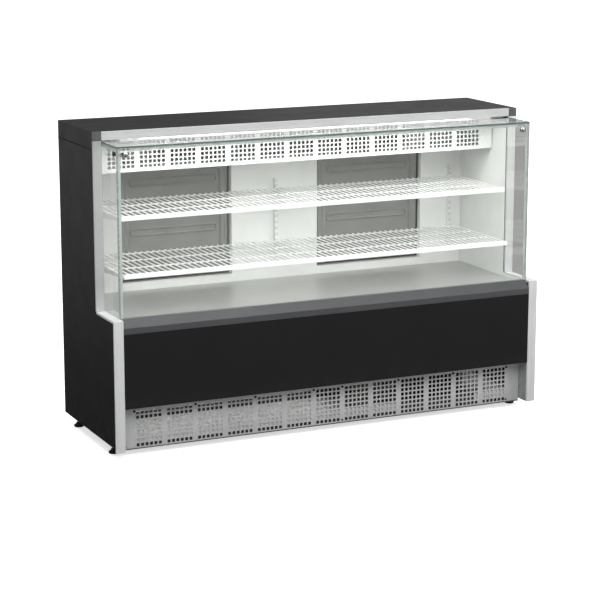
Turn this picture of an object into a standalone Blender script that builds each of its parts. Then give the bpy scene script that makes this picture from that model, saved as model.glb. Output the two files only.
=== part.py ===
"""A refrigerated deli case: a black insulated cabinet with a glass display front, two wire
shelves, rear service doors, and the cooling machinery that it needs above and below.

Metres, +Z up. The case faces -Y, and its origin is on the floor, under the middle of its
bounding box. Sub-parts are placed from the plane of the front trim strips, which is the
position of the parent empty: there y is the distance behind that plane and x = 0 is the
middle of the case.
"""

import math

import bmesh
import bpy
from mathutils import Matrix, Vector

# Overall size
WIDTH = 1.800
HEIGHT = 1.210
SIDE_DEPTH = 0.595
TOTAL_DEPTH = 0.662
GAP = 0.0003
OVERCUT = 0.010
OVERLAP = 0.001

# Side walls: a painted outer panel and a white inner liner
SIDE_INNER_X = 0.8785
LINER_INNER_X = 0.8620
INSIDE_X = 0.8612
SIDE_BOTTOM = 0.050
ROOF_SEAM = 1.1445

# The step: the lower body stands in front of the upper one
STEP_BACK = 0.193
STEP_TOP = 0.537
STEP_CAP = 0.0087
STRIP_DEPTH = 0.008
STRIP_BOTTOM = 0.0375
UPPER_STRIP_X = 0.8655

# Roof
ROOF_WALL = 0.0025
FASCIA_BOTTOM = 1.178
CAP_BOTTOM = 1.1765
CEILING_BOTTOM = 1.168
CEILING_FRONT = 0.227
LAMP_HALF_LENGTH = 0.80
LAMP_RAISE = 0.006
LAMP_HEIGHT = 0.014
LAMP_CHAMFER = 0.005

# Air duct and evaporator, behind the perforated panel at the top of the display
DUCT_Y = 0.315
DUCT_HALF_WIDTH = 0.858
DUCT_BOTTOM = 1.035
SHEET = 0.0015
TRAY_HEIGHT = 0.015
COIL_HALF_LENGTH = 0.52
COIL_FRONT = 0.430
COIL_BACK = 0.540
COIL_BOTTOM = 1.053
COIL_TOP = 1.150
COIL_FINS = 20
COIL_FIN_DEPTH = 0.4
COIL_TUBE_RADIUS = 0.0045
COIL_BEND_RADIUS = 0.0048
COIL_TUBE_MARGIN = 0.025
COIL_TUBE_SPREAD = 0.020
COIL_END_REACH = 0.030
COIL_ROUND_STEPS = 10
EVAP_FAN_X = 0.30
EVAP_FAN_Y = 0.355
EVAP_FAN_Z = 1.103
EVAP_FAN_RADIUS = 0.050
EVAP_FAN_HUB_RADIUS = 0.018
EVAP_FAN_HUB_HEIGHT = 0.018
EVAP_FAN_SHAFT_RADIUS = 0.0025
EVAP_FAN_PLATE = (0.058, 0.048)

# Every fan: blades as shares of its radius, its motor's frame and can
FAN_BLADES = 5
BLADE_WALL = 0.0018
BLADE_PITCH = math.radians(28)
BLADE_TIP_CHORD = 0.62
BLADE_ROOT_CHORD = 0.60
BLADE_ROOT = 0.8
BORE_CLEARANCE = 0.0002
BORE_DEPTH = 0.7
HUB_SHOULDER = 0.85
HUB_NOSE = 0.8
MOTOR_PLATE_WALL = 0.003
MOTOR_PLATE_SPACE = 0.003
MOTOR_ARM = 0.12
MOTOR_CAN_RADIUS = 0.42
MOTOR_CAN_LENGTH = 0.6

# Perforated sheets: groups of hole columns
HOLE_GROUPS = 13
COLUMNS_PER_GROUP = 6
GROUP_PITCH = 0.1242
COLUMN_PITCH = 0.0178
HOLE_WIDTH = 0.0115
DUCT_HOLES_BOTTOM = 1.054
DUCT_HOLES_TOP = 1.153
GRILLE_HOLES_BOTTOM = 0.045
GRILLE_HOLES_TOP = 0.182

# Front of the lower body
PANEL_BOTTOM = 0.201
PANEL_TOP = 0.484
PANEL_SKIN = 0.0015
PANEL_RETURN = 0.020
SILL_FACE_TOP = 0.508
SILL_TOP = 0.537
SILL_CHAMFER = 0.029
SILL_BACK = 0.050
SILL_WALL = 0.003
GRILLE_Y = 0.065
GRILLE_BOTTOM = 0.026
GRILLE_TOP = 0.215

# Display floor
BASE_BOTTOM = 0.460
DECK_TOP = 0.520
REAR_WALL_FRONT = 0.571

# Glass
GLASS = 0.006
GLASS_FRONT = 0.030
GLASS_HALF_WIDTH = 0.865
GLASS_TOP = 1.174
GLASS_BACK = 0.2007
JOINT_LEG = 0.020
JOINT_WALL = 0.0015
JOINT_HALF_LENGTH = 0.815
CLAMP_X = 0.832
CLAMP_Y = 0.062
CLAMP_Z = 1.1445
CLAMP_DISC_RADIUS = 0.010
CLAMP_PIN_RADIUS = 0.005
CLAMP_HOLE_RADIUS = 0.0056
CLAMP_BRACKET_HEIGHT = 0.016
CLAMP_BRACKET_WALL = 0.003
DISC_THICKNESS = 0.0075

# Shelves: (name, front edge, bottom of the front strip)
SHELVES = (("upper", 0.135, 0.882), ("lower", 0.105, 0.669))
SHELF_HALF_WIDTH = 0.818
SHELF_BACK = 0.545
SHELF_STRIP_HEIGHT = 0.015
SHELF_STRIP_WALL = 0.0025
SHELF_WIRE_UNDER = 0.0078
SHELF_WIRE = 0.006
SHELF_GAPS = 26
SHELF_GAP_WIDTH = 0.050
SHELF_BORDER = 0.022
SUPPORT_X = 0.80
SUPPORT_FRONT = 0.556
SUPPORT_WIDTH = 0.012
SUPPORT_BOTTOM = 0.600
SUPPORT_TOP = 0.930
SUPPORT_INSET = 0.002
ARM_WALL = 0.003
ARM_ROOT = 0.044
ARM_TIP = 0.011
ARM_TIP_SPACE = 0.004

# Rear doors
DOOR_OPENING_INNER = 0.190
DOOR_OPENING_OUTER = 0.668
DOOR_OPENING_BOTTOM = 0.550
DOOR_OPENING_TOP = 1.030
DOOR_INNER = 0.174
DOOR_OUTER = 0.702
DOOR_BOTTOM = 0.534
DOOR_TOP = 1.046
DOOR_FRONT = 0.6048
DOOR_BACK = 0.640
GASKET_WIDTH = 0.014
GASKET_MARGIN = 0.006
GASKET_OUTER = 0.684
GASKET_FRONT = 0.5955
DOOR_LINER_MARGIN = 0.009
DOOR_LINER_FRONT = 0.588
DOOR_LINER_BORDER = 0.035
DOOR_LINER_RECESS = 0.008
HINGE_X = 0.692
HINGE_Y = 0.628
HINGE_PIN_RADIUS = 0.0040
HINGE_HOLE_RADIUS = 0.0041
HINGE_PIN_LENGTH = 0.012
HINGE_RAIL_X = 0.7045
HINGE_RAIL_WIDTH = 0.0175
HINGE_RAIL_DEPTH = 0.004
HINGE_ARM_WALL = 0.004
HINGE_ARM_REACH = 0.008
HINGE_CLEARANCE = 0.0005
HANDLE_X = 0.200
HANDLE_HALF_WIDTH = 0.007
HANDLE_BOTTOM = 0.720
HANDLE_TOP = 0.860
HANDLE_BAR_FRONT = 0.655
HANDLE_POST = 0.015
HANDLE_POST_INSET = 0.0005

# Machine compartment
PAN_WALL = 0.002
PAN_FRONT = 0.069
PAN_BACK = 0.592
PAN_FLANGE_TOP = 0.080
PAN_HALF_WIDTH = 0.878
BACK_PANEL_Y = 0.5925
BACK_PANEL_HALF_WIDTH = 0.877
BACK_PANEL_BOTTOM = 0.084
BACK_PANEL_TOP = 0.458
LOUVRE_BANKS = (-0.35, 0.25)
LOUVRE_LENGTH = 0.36
LOUVRE_HEIGHT = 0.010
LOUVRE_PITCH = 0.028
LOUVRE_ROWS = 7
LOUVRE_BOTTOM = 0.16
COMPRESSOR_X = 0.52
COMPRESSOR_Y = 0.430
COMPRESSOR_RADIUS = 0.082
COMPRESSOR_HEIGHT = 0.185
COMPRESSOR_DOME = 0.045
COMPRESSOR_SEAM = 0.077
COMPRESSOR_SEAM_WALL = 0.003
COMPRESSOR_SEAM_LIP = 0.005
COMPRESSOR_SEAM_FLARE = 1.05
COMPRESSOR_BASE_HEIGHT = 0.030
COMPRESSOR_FOOT = (0.095, 0.055, 0.010)
CONDENSER_X = 0.46
CONDENSER_HALF_WIDTH = 0.15
CONDENSER_FRONT = 0.100
CONDENSER_BACK = 0.150
CONDENSER_BOTTOM = 0.075
CONDENSER_TOP = 0.345
CONDENSER_FINS = 18
CONDENSER_FAN_Y = 0.180
CONDENSER_FAN_Z = 0.210
CONDENSER_FAN_RADIUS = 0.100
CONDENSER_FAN_HUB_RADIUS = 0.030
CONDENSER_FAN_HUB_HEIGHT = 0.030
CONDENSER_FAN_SHAFT_RADIUS = 0.004

# Controls and the power inlet, on the rear machine panel
CONTROL_PLATE = (0.56, 0.74, 0.33, 0.41)
CONTROL_PLATE_WALL = 0.003
KNOB_X = 0.61
CONTROL_Z = 0.37
KNOB_RADIUS = 0.020
KNOB_HEIGHT = 0.018
KNOB_SHAFT_RADIUS = 0.003
KNOB_SHAFT_LENGTH = 0.014
KNOB_SHAFT_CLEARANCE = 0.0005
KNOB_EDGE = 0.002
KNOB_POINTER_WIDTH = 0.0024
KNOB_POINTER_PROUD = 0.0015
KNOB_POINTER_START = 0.004
SWITCH_X = 0.69
SWITCH_HALF_WIDTH = 0.011
SWITCH_HALF_HEIGHT = 0.0155
SWITCH_PROUD = 0.007
SWITCH_DEEP = 0.004
SWITCH_REST_TILT = math.radians(-7)
SWITCH_SIDE_CLEARANCE = 0.001
SWITCH_END_CLEARANCE = 0.004
SWITCH_DISH_RADIUS = 0.020
SWITCH_DISH_STRETCH = 1.6
SWITCH_DISH_RAISE = 0.0185
INLET_X = 0.74
INLET_Z = 0.135
INLET_HALF_WIDTH = 0.020
INLET_HALF_HEIGHT = 0.013
INLET_DEEP = 0.012
INLET_PROUD = 0.004
INLET_WALL = 0.003
INLET_FLOOR = 0.002
INLET_FLANGE = 0.006

# Levelling feet
FOOT_X = 0.862
FOOT_ROWS = (("front", 0.135), ("rear", 0.540))
FOOT_PAD_RADIUS = 0.019
FOOT_STEM_RADIUS = 0.005
FOOT_HOLE_RADIUS = 0.0056
FOOT_NUT_RADIUS = 0.009
FOOT_NUT_HEIGHT = 0.008
FOOT_STEM_TOP = 0.085
FOOT_PAD_BEVEL = 0.0015
FOOT_PAD_HEIGHT = 0.009
FOOT_NECK_RADIUS = 0.011
FOOT_NECK_TOP = 0.018

SIDES = (("left", -1), ("right", 1))
ALONG_X = (math.pi / 2, 0, math.pi / 2)
ALONG_Y = (-math.pi / 2, 0, 0)
ROUND_STEPS = 24

# Colours, roughness and metallic value of each finish
FINISHES = {
    "black_enamel": ((0.014, 0.014, 0.015), 0.42, 0.0),
    "white_enamel": ((0.80, 0.81, 0.80), 0.40, 0.0),
    "satin_aluminium": ((0.62, 0.63, 0.64), 0.35, 1.0),
    "grey_plastic": ((0.13, 0.135, 0.15), 0.50, 0.0),
    "sill_profile": ((0.16, 0.16, 0.185), 0.42, 0.0),
    "grille_steel": ((0.42, 0.43, 0.44), 0.45, 0.2),
    "deck_steel": ((0.40, 0.41, 0.41), 0.40, 0.6),
    "door_liner": ((0.20, 0.21, 0.20), 0.55, 0.0),
    "insulation": ((0.70, 0.66, 0.50), 0.90, 0.0),
    "clear_glass": ((0.80, 0.92, 0.88), 0.05, 0.0),
    "polished_chrome": ((0.80, 0.80, 0.82), 0.10, 1.0),
    "black_rubber": ((0.02, 0.02, 0.02), 0.80, 0.0),
    "lamp_diffuser": ((0.95, 0.95, 0.92), 0.30, 0.0),
    "fin_aluminium": ((0.70, 0.71, 0.72), 0.40, 1.0),
    "machine_black": ((0.02, 0.02, 0.022), 0.50, 0.0),
    "zinc_steel": ((0.50, 0.51, 0.52), 0.50, 0.9),
}


def clear_scene():
    for item in list(bpy.data.objects):
        bpy.data.objects.remove(item, do_unlink=True)


def new_collection(name):
    made = bpy.data.collections.new(name)
    bpy.context.scene.collection.children.link(made)
    return made


def finish(name):
    """The material of that name, made on first use."""
    if name in bpy.data.materials:
        return bpy.data.materials[name]
    colour, roughness, metallic = FINISHES[name]
    made = bpy.data.materials.new(name)
    made.use_nodes = True
    shader = made.node_tree.nodes["Principled BSDF"]
    shader.inputs["Base Color"].default_value = (*colour, 1.0)
    shader.inputs["Roughness"].default_value = roughness
    shader.inputs["Metallic"].default_value = metallic
    if name == "clear_glass":
        shader.inputs["Transmission Weight"].default_value = 1.0
    made.diffuse_color = (*colour, 1.0)
    return made


def place(name, mesh, finish_name, location, rotation=(0, 0, 0)):
    """A sub-part of the case, standing at a place behind the front plane."""
    made = bpy.data.objects.new(name, mesh)
    parts.objects.link(made)
    made.parent = front_plane
    made.location = location
    made.rotation_euler = rotation
    mesh.materials.clear()
    mesh.materials.append(finish(finish_name))
    return made


def mesh_of(bm, name):
    mesh = bpy.data.meshes.new(name)
    bmesh.ops.recalc_face_normals(bm, faces=bm.faces)
    bm.to_mesh(mesh)
    bm.free()
    return mesh


def add_box(bm, low, high, origin=(0, 0, 0)):
    """Adds the box between two corners, measured from an origin."""
    low = Vector(low) - Vector(origin)
    high = Vector(high) - Vector(origin)
    size = high - low
    matrix = Matrix.Translation((low + high) / 2) @ Matrix.Diagonal((*size, 1.0))
    bmesh.ops.create_cube(bm, size=1.0, matrix=matrix)


def box(name, low, high, finish_name, bevel=0.0):
    """A box with its origin at its centre, and its edges rounded where a bevel is given."""
    centre = (Vector(low) + Vector(high)) / 2
    bm = bmesh.new()
    add_box(bm, low, high, centre)
    made = place(name, mesh_of(bm, name), finish_name, centre)
    if bevel:
        rounding = made.modifiers.new("rounded_edges", "BEVEL")
        rounding.width = bevel
        rounding.segments = 2
    return made


def outline(name, points, low_x, high_x, finish_name):
    """A profile of (y, z) points, extruded along X between two planes."""
    curve = bpy.data.curves.new(name, "CURVE")
    curve.dimensions = "2D"
    curve.fill_mode = "BOTH"
    curve.extrude = (high_x - low_x) / 2
    spline = curve.splines.new("POLY")
    spline.points.add(len(points) - 1)
    for point, (y, z) in zip(spline.points, points):
        point.co = (y, z, 0, 1)
    spline.use_cyclic_u = True
    holder = bpy.data.objects.new(name + "_outline", curve)
    mesh = solid_of_curve(holder, name)
    return place(name, mesh, finish_name, ((low_x + high_x) / 2, 0, 0), ALONG_X)


def solid_of_curve(holder, name):
    """The evaluated mesh of a curve object, with its caps welded on. The curve is removed."""
    parts.objects.link(holder)
    graph = bpy.context.evaluated_depsgraph_get()
    mesh = bpy.data.meshes.new_from_object(holder.evaluated_get(graph))
    bm = bmesh.new()
    bm.from_mesh(mesh)
    bpy.data.meshes.remove(mesh)
    bmesh.ops.remove_doubles(bm, verts=bm.verts, dist=0.00001)
    bpy.data.objects.remove(holder, do_unlink=True)
    return mesh_of(bm, name)


def turned(name, profile, finish_name, location, rotation=(0, 0, 0), steps=ROUND_STEPS):
    """A shape of revolution about its own Z, from (radius, height) points listed top to bottom."""
    mesh = bpy.data.meshes.new(name)
    edges = [(i, i + 1) for i in range(len(profile) - 1)]
    mesh.from_pydata([(radius, 0, height) for radius, height in profile], edges, [])
    made = place(name, mesh, finish_name, location, rotation)
    screw = made.modifiers.new("turning", "SCREW")
    screw.steps = steps
    screw.render_steps = steps
    screw.use_merge_vertices = True
    screw.merge_threshold = 0.0001
    screw.use_smooth_shade = True
    return made


def helper(name, mesh, location=(0, 0, 0), rotation=(0, 0, 0)):
    """A hidden solid that cuts or joins another one."""
    made = bpy.data.objects.new(name, mesh)
    cutters.objects.link(made)
    made.parent = front_plane
    made.location = location
    made.rotation_euler = rotation
    made.hide_render = True
    made.display_type = "WIRE"
    return made


def helper_boxes(name, boxes):
    bm = bmesh.new()
    for low, high in boxes:
        add_box(bm, low, high)
    return helper(name, mesh_of(bm, name))


def helper_rods(name, ends, radius, steps=ROUND_STEPS):
    """Round rods of one radius between pairs of end points."""
    bm = bmesh.new()
    for start, end in ends:
        start = Vector(start)
        end = Vector(end)
        along = end - start
        turn = along.to_track_quat("Z", "Y").to_matrix().to_4x4()
        matrix = Matrix.Translation((start + end) / 2) @ turn
        bmesh.ops.create_cone(
            bm,
            cap_ends=True,
            segments=steps,
            radius1=radius,
            radius2=radius,
            depth=along.length,
            matrix=matrix,
        )
    return helper(name, mesh_of(bm, name))


def combine(part, tool, operation):
    modifier = part.modifiers.new(operation.lower(), "BOOLEAN")
    modifier.operation = operation
    modifier.solver = "EXACT"
    modifier.object = tool
    return part


def cut(part, tool):
    return combine(part, tool, "DIFFERENCE")


def join(part, tool):
    return combine(part, tool, "UNION")


def mirrored(low_x, high_x, side):
    """The pair of x values on one side of the case, in rising order."""
    return tuple(sorted((side * low_x, side * high_x)))


# Cabinet shell


def side_panel(word, side):
    front = STRIP_DEPTH + GAP
    upper_front = STEP_BACK + STRIP_DEPTH + GAP
    step = STEP_TOP - STEP_CAP - GAP
    points = [
        (front, SIDE_BOTTOM),
        (SIDE_DEPTH, SIDE_BOTTOM),
        (SIDE_DEPTH, ROOF_SEAM),
        (upper_front, ROOF_SEAM),
        (upper_front, step),
        (front, step),
    ]
    low_x, high_x = mirrored(SIDE_INNER_X, WIDTH / 2, side)
    outline(f"side_panel_{word}", points, low_x, high_x, "black_enamel")


def side_liner(word, side):
    """The white inner wall, which follows the step of the side panel."""
    back = SIDE_DEPTH - GAP
    upper_front = STEP_BACK + STRIP_DEPTH + GAP
    step = STEP_TOP - STEP_CAP - GAP
    points = [
        (SILL_BACK + GAP, BASE_BOTTOM),
        (back, BASE_BOTTOM),
        (back, ROOF_SEAM),
        (upper_front, ROOF_SEAM),
        (upper_front, step),
        (SILL_BACK + GAP, step),
    ]
    low_x, high_x = mirrored(LINER_INNER_X, SIDE_INNER_X - GAP, side)
    outline(f"side_liner_{word}", points, low_x, high_x, "white_enamel")


def lower_strip(word, side):
    """The front trim of the lower body, folded back over the step."""
    points = [
        (0, STRIP_BOTTOM),
        (STRIP_DEPTH, STRIP_BOTTOM),
        (STRIP_DEPTH, STEP_TOP - STEP_CAP),
        (STEP_BACK - GAP, STEP_TOP - STEP_CAP),
        (STEP_BACK - GAP, STEP_TOP),
        (0, STEP_TOP),
    ]
    low_x, high_x = mirrored(LINER_INNER_X, WIDTH / 2, side)
    outline(f"lower_strip_{word}", points, low_x, high_x, "satin_aluminium")


def upper_strip(word, side):
    low_x, high_x = mirrored(UPPER_STRIP_X, WIDTH / 2, side)
    low = (low_x, STEP_BACK, STEP_TOP + GAP)
    high = (high_x, STEP_BACK + STRIP_DEPTH, CAP_BOTTOM - GAP)
    box(f"upper_strip_{word}", low, high, "satin_aluminium")


def strip_cap(word, side):
    low_x, high_x = mirrored(UPPER_STRIP_X, WIDTH / 2, side)
    low = (low_x, STEP_BACK, CAP_BOTTOM)
    high = (high_x, STEP_BACK + STRIP_DEPTH, HEIGHT)
    box(f"strip_cap_{word}", low, high, "grey_plastic")


def roof_housing():
    """The black top cover, open below, and in front below the fascia."""
    front = STEP_BACK + STRIP_DEPTH + GAP
    low = (-WIDTH / 2, front, ROOF_SEAM + GAP)
    high = (WIDTH / 2, SIDE_DEPTH, HEIGHT)
    made = box("roof_housing", low, high, "black_enamel")
    hollow_low = (-WIDTH / 2 + ROOF_WALL, front + ROOF_WALL, ROOF_SEAM - ROOF_WALL)
    hollow_high = (WIDTH / 2 - ROOF_WALL, SIDE_DEPTH - ROOF_WALL, HEIGHT - ROOF_WALL)
    cut(made, helper_boxes("roof_hollow", [(hollow_low, hollow_high)]))
    mouth_low = (-INSIDE_X, front - OVERCUT, ROOF_SEAM - OVERCUT)
    mouth_high = (INSIDE_X, front + ROOF_WALL + OVERLAP, FASCIA_BOTTOM + OVERLAP)
    cut(made, helper_boxes("roof_mouth", [(mouth_low, mouth_high)]))


def roof_fascia():
    half = UPPER_STRIP_X - GAP
    low = (-half, STEP_BACK, FASCIA_BOTTOM)
    high = (half, STEP_BACK + STRIP_DEPTH, HEIGHT)
    box("roof_fascia", low, high, "satin_aluminium")


def ceiling_panel():
    low = (-INSIDE_X, CEILING_FRONT, CEILING_BOTTOM)
    high = (INSIDE_X, SIDE_DEPTH - ROOF_WALL - GAP, HEIGHT - ROOF_WALL - GAP)
    box("ceiling_panel", low, high, "white_enamel")


def led_lamp():
    """A lamp bar in the recess behind the fascia, with a chamfered diffuser."""
    front = STEP_BACK + STRIP_DEPTH + ROOF_WALL + 3 * GAP
    back = CEILING_FRONT - GAP
    bottom = CEILING_BOTTOM + LAMP_RAISE
    top = bottom + LAMP_HEIGHT
    points = [
        (front, top),
        (front, bottom + LAMP_CHAMFER),
        (front + LAMP_CHAMFER, bottom),
        (back - LAMP_CHAMFER, bottom),
        (back, bottom + LAMP_CHAMFER),
        (back, top),
    ]
    outline("led_lamp", points, -LAMP_HALF_LENGTH, LAMP_HALF_LENGTH, "lamp_diffuser")


# Perforated sheets


def hole_columns(low_y, high_y, bottom, top):
    """Boxes for every column of holes in a perforated sheet, in groups across the case."""
    boxes = []
    for group in range(HOLE_GROUPS):
        group_x = (group - (HOLE_GROUPS - 1) / 2) * GROUP_PITCH
        for column in range(COLUMNS_PER_GROUP):
            x = group_x + (column - (COLUMNS_PER_GROUP - 1) / 2) * COLUMN_PITCH
            low = (x - HOLE_WIDTH / 2, low_y, bottom)
            high = (x + HOLE_WIDTH / 2, high_y, top)
            boxes.append((low, high))
    return boxes


def air_duct_panel():
    low = (-DUCT_HALF_WIDTH, DUCT_Y, DUCT_BOTTOM)
    high = (DUCT_HALF_WIDTH, DUCT_Y + SHEET, CEILING_BOTTOM - GAP)
    made = box("air_duct_panel", low, high, "white_enamel")
    margin = 2 * SHEET
    columns = hole_columns(
        DUCT_Y - margin, DUCT_Y + margin, DUCT_HOLES_BOTTOM, DUCT_HOLES_TOP
    )
    cut(made, helper_boxes("duct_holes", columns))


def front_grille():
    low = (-INSIDE_X, GRILLE_Y, GRILLE_BOTTOM)
    high = (INSIDE_X, GRILLE_Y + SHEET, GRILLE_TOP)
    made = box("front_grille", low, high, "grille_steel")
    margin = 2 * SHEET
    columns = hole_columns(
        GRILLE_Y - margin, GRILLE_Y + margin, GRILLE_HOLES_BOTTOM, GRILLE_HOLES_TOP
    )
    cut(made, helper_boxes("grille_holes", columns))


# Cooling unit above the display


def drip_tray():
    front = DUCT_Y + SHEET + GAP
    back = REAR_WALL_FRONT - GAP
    top = DUCT_BOTTOM + TRAY_HEIGHT
    low = (-DUCT_HALF_WIDTH, front, DUCT_BOTTOM)
    high = (DUCT_HALF_WIDTH, back, top)
    made = box("drip_tray", low, high, "white_enamel")
    hollow_low = (-DUCT_HALF_WIDTH + SHEET, front + SHEET, DUCT_BOTTOM + SHEET)
    hollow_high = (DUCT_HALF_WIDTH - SHEET, back - SHEET, top + SHEET)
    cut(made, helper_boxes("tray_hollow", [(hollow_low, hollow_high)]))


def finned_block(name, low, high, fins, finish_name):
    """A heat exchanger: a block whose front is cut into fins between two end plates."""
    made = box(name, low, high, finish_name)
    pitch = (high[0] - low[0]) / (fins + 1)
    depth = (high[1] - low[1]) * COIL_FIN_DEPTH
    slots = []
    for i in range(fins):
        x = low[0] + (i + 1) * pitch
        slot_low = (x - pitch / 4, low[1] - SHEET, low[2] - SHEET)
        slot_high = (x + pitch / 4, low[1] + depth, high[2] + SHEET)
        slots.append((slot_low, slot_high))
    cut(made, helper_boxes(name + "_slots", slots))
    return made


def evaporator_coil():
    low = (-COIL_HALF_LENGTH, COIL_FRONT, COIL_BOTTOM)
    high = (COIL_HALF_LENGTH, COIL_BACK, COIL_TOP)
    made = finned_block("evaporator_coil", low, high, COIL_FINS, "fin_aluminium")
    middle = (COIL_BACK + COIL_FRONT) / 2
    reach = COIL_HALF_LENGTH + COIL_END_REACH
    bend_x = reach - COIL_TUBE_RADIUS + OVERLAP / 2
    inside = COIL_HALF_LENGTH - COIL_TUBE_RADIUS
    end_y = COIL_TUBE_SPREAD + COIL_TUBE_RADIUS
    legs = []
    bends = []
    for z in (COIL_BOTTOM + COIL_TUBE_MARGIN, COIL_TOP - COIL_TUBE_MARGIN):
        for y in (middle - COIL_TUBE_SPREAD, middle + COIL_TUBE_SPREAD):
            legs.append(((inside, y, z), (reach, y, z)))
        bends.append(((bend_x, middle - end_y, z), (bend_x, middle + end_y, z)))
    join(made, helper_rods("coil_legs", legs, COIL_TUBE_RADIUS, COIL_ROUND_STEPS))
    join(made, helper_rods("coil_bends", bends, COIL_BEND_RADIUS, COIL_ROUND_STEPS))


def fan_blades(name, centre, radius, hub_radius):
    """Pitched blades about an axis along Y, narrow at the root, to join to a hub."""
    bm = bmesh.new()
    inner = hub_radius * BLADE_ROOT
    length = radius - inner
    tip_chord = radius * BLADE_TIP_CHORD
    root_chord = hub_radius * BLADE_ROOT_CHORD
    size = Matrix.Diagonal((length, BLADE_WALL, tip_chord, 1.0))
    pitch = Matrix.Rotation(BLADE_PITCH, 4, "X")
    out = Matrix.Translation((inner + length / 2, 0, 0))
    for i in range(FAN_BLADES):
        made = bmesh.ops.create_cube(bm, size=1.0, matrix=size)["verts"]
        root = [vert for vert in made if vert.co.x < 0]
        bmesh.ops.scale(bm, vec=(1, 1, root_chord / tip_chord), verts=root)
        around = Matrix.Rotation(i * math.tau / FAN_BLADES, 4, "Y")
        matrix = Matrix.Translation(centre) @ around @ out @ pitch
        bmesh.ops.transform(bm, matrix=matrix, verts=made)
    return helper(name, mesh_of(bm, name))


def fan(name, centre, radius, hub_radius, hub_height, shaft_radius, finish_name):
    """A hub with a blind bore for the motor shaft, and blades. Its axis is along Y."""
    front = hub_height / 2
    back = -hub_height / 2
    bore = shaft_radius + BORE_CLEARANCE
    bore_end = back + hub_height * BORE_DEPTH
    profile = [
        (0, bore_end),
        (bore, bore_end),
        (bore, back),
        (hub_radius, back),
        (hub_radius, back + hub_height * HUB_SHOULDER),
        (hub_radius * HUB_NOSE, front),
        (0, front),
    ]
    facing_front = (math.pi / 2, 0, 0)
    made = turned(name, profile[::-1], finish_name, centre, facing_front)
    join(made, fan_blades(name + "_blades", centre, radius, hub_radius))
    return made


def fan_motor(name, fan_centre, fan_radius, hub_height, plate_half, shaft_radius):
    """A motor behind a fan, held in a frame by a cross of arms."""
    x, y, z = fan_centre
    half_x, half_z = plate_half
    plate_y = y + hub_height / 2 + MOTOR_PLATE_SPACE
    low = (x - half_x, plate_y, z - half_z)
    high = (x + half_x, plate_y + MOTOR_PLATE_WALL, z + half_z)
    made = box(name, low, high, "machine_black")
    arm = fan_radius * MOTOR_ARM
    windows = []
    for x_side in (-1, 1):
        for z_side in (-1, 1):
            xs = mirrored(arm, half_x - arm, x_side)
            zs = mirrored(arm, half_z - arm, z_side)
            window_low = (x + xs[0], plate_y - OVERCUT, z + zs[0])
            window_high = (x + xs[1], plate_y + OVERCUT, z + zs[1])
            windows.append((window_low, window_high))
    cut(made, helper_boxes(name + "_windows", windows))
    can_start = plate_y + OVERLAP
    can = ((x, can_start, z), (x, can_start + fan_radius * MOTOR_CAN_LENGTH, z))
    join(made, helper_rods(name + "_can", [can], fan_radius * MOTOR_CAN_RADIUS))
    shaft_end = plate_y + MOTOR_PLATE_WALL - OVERLAP
    shaft_start = y - hub_height * (BORE_DEPTH - 0.5) / 2
    shaft = ((x, shaft_start, z), (x, shaft_end, z))
    join(made, helper_rods(name + "_shaft", [shaft], shaft_radius, 16))
    return made


def evaporator_fans():
    radius = EVAP_FAN_RADIUS
    height = EVAP_FAN_HUB_HEIGHT
    shaft = EVAP_FAN_SHAFT_RADIUS
    for word, side in SIDES:
        centre = (side * EVAP_FAN_X, EVAP_FAN_Y, EVAP_FAN_Z)
        name = f"evap_fan_{word}"
        fan(name, centre, radius, EVAP_FAN_HUB_RADIUS, height, shaft, "grey_plastic")
        fan_motor(f"evap_fan_motor_{word}", centre, radius, height, EVAP_FAN_PLATE, shaft)


# Front of the lower body and the display floor


def front_sill():
    """A folded grey profile whose upper edge slopes back to the foot of the glass."""
    inset = SILL_WALL * math.tan(math.pi / 8)
    slope_foot = SILL_FACE_TOP - inset
    slope_head = SILL_CHAMFER + inset
    inner_back = SILL_BACK - SILL_WALL
    inner_top = SILL_TOP - SILL_WALL
    points = [
        (0, PANEL_TOP + GAP),
        (SILL_WALL, PANEL_TOP + GAP),
        (SILL_WALL, slope_foot),
        (slope_head, inner_top),
        (inner_back, inner_top),
        (inner_back, DECK_TOP),
        (SILL_BACK, DECK_TOP),
        (SILL_BACK, SILL_TOP),
        (SILL_CHAMFER, SILL_TOP),
        (0, SILL_FACE_TOP),
    ]
    outline("front_sill", points, -INSIDE_X, INSIDE_X, "sill_profile")


def front_panel():
    """The black kick panel, a tray with folded edges."""
    low = (-INSIDE_X, 0, PANEL_BOTTOM)
    high = (INSIDE_X, PANEL_RETURN, PANEL_TOP)
    made = box("front_panel", low, high, "black_enamel")
    hollow_low = (-INSIDE_X + PANEL_SKIN, PANEL_SKIN, PANEL_BOTTOM + PANEL_SKIN)
    hollow_high = (INSIDE_X - PANEL_SKIN, PANEL_RETURN + OVERCUT, PANEL_TOP - PANEL_SKIN)
    cut(made, helper_boxes("panel_hollow", [(hollow_low, hollow_high)]))


def display_floor():
    front = SILL_BACK + GAP
    back = REAR_WALL_FRONT - GAP
    deck_bottom = DECK_TOP - SHEET
    base_high = (INSIDE_X, back, deck_bottom - GAP)
    box("insulated_base", (-INSIDE_X, front, BASE_BOTTOM), base_high, "insulation")
    deck_high = (INSIDE_X, back, DECK_TOP)
    box("display_deck", (-INSIDE_X, front, deck_bottom), deck_high, "deck_steel")


# Glass


def front_glass():
    low = (-GLASS_HALF_WIDTH, GLASS_FRONT, SILL_TOP + 2 * GAP)
    high = (GLASS_HALF_WIDTH, GLASS_FRONT + GLASS, GLASS_TOP - GLASS - GAP)
    made = box("front_glass", low, high, "clear_glass")
    ends = []
    for _, side in SIDES:
        x = side * CLAMP_X
        ends.append(((x, GLASS_FRONT - GLASS, CLAMP_Z), (x, GLASS_FRONT + 2 * GLASS, CLAMP_Z)))
    cut(made, helper_rods("front_glass_holes", ends, CLAMP_HOLE_RADIUS))


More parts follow.
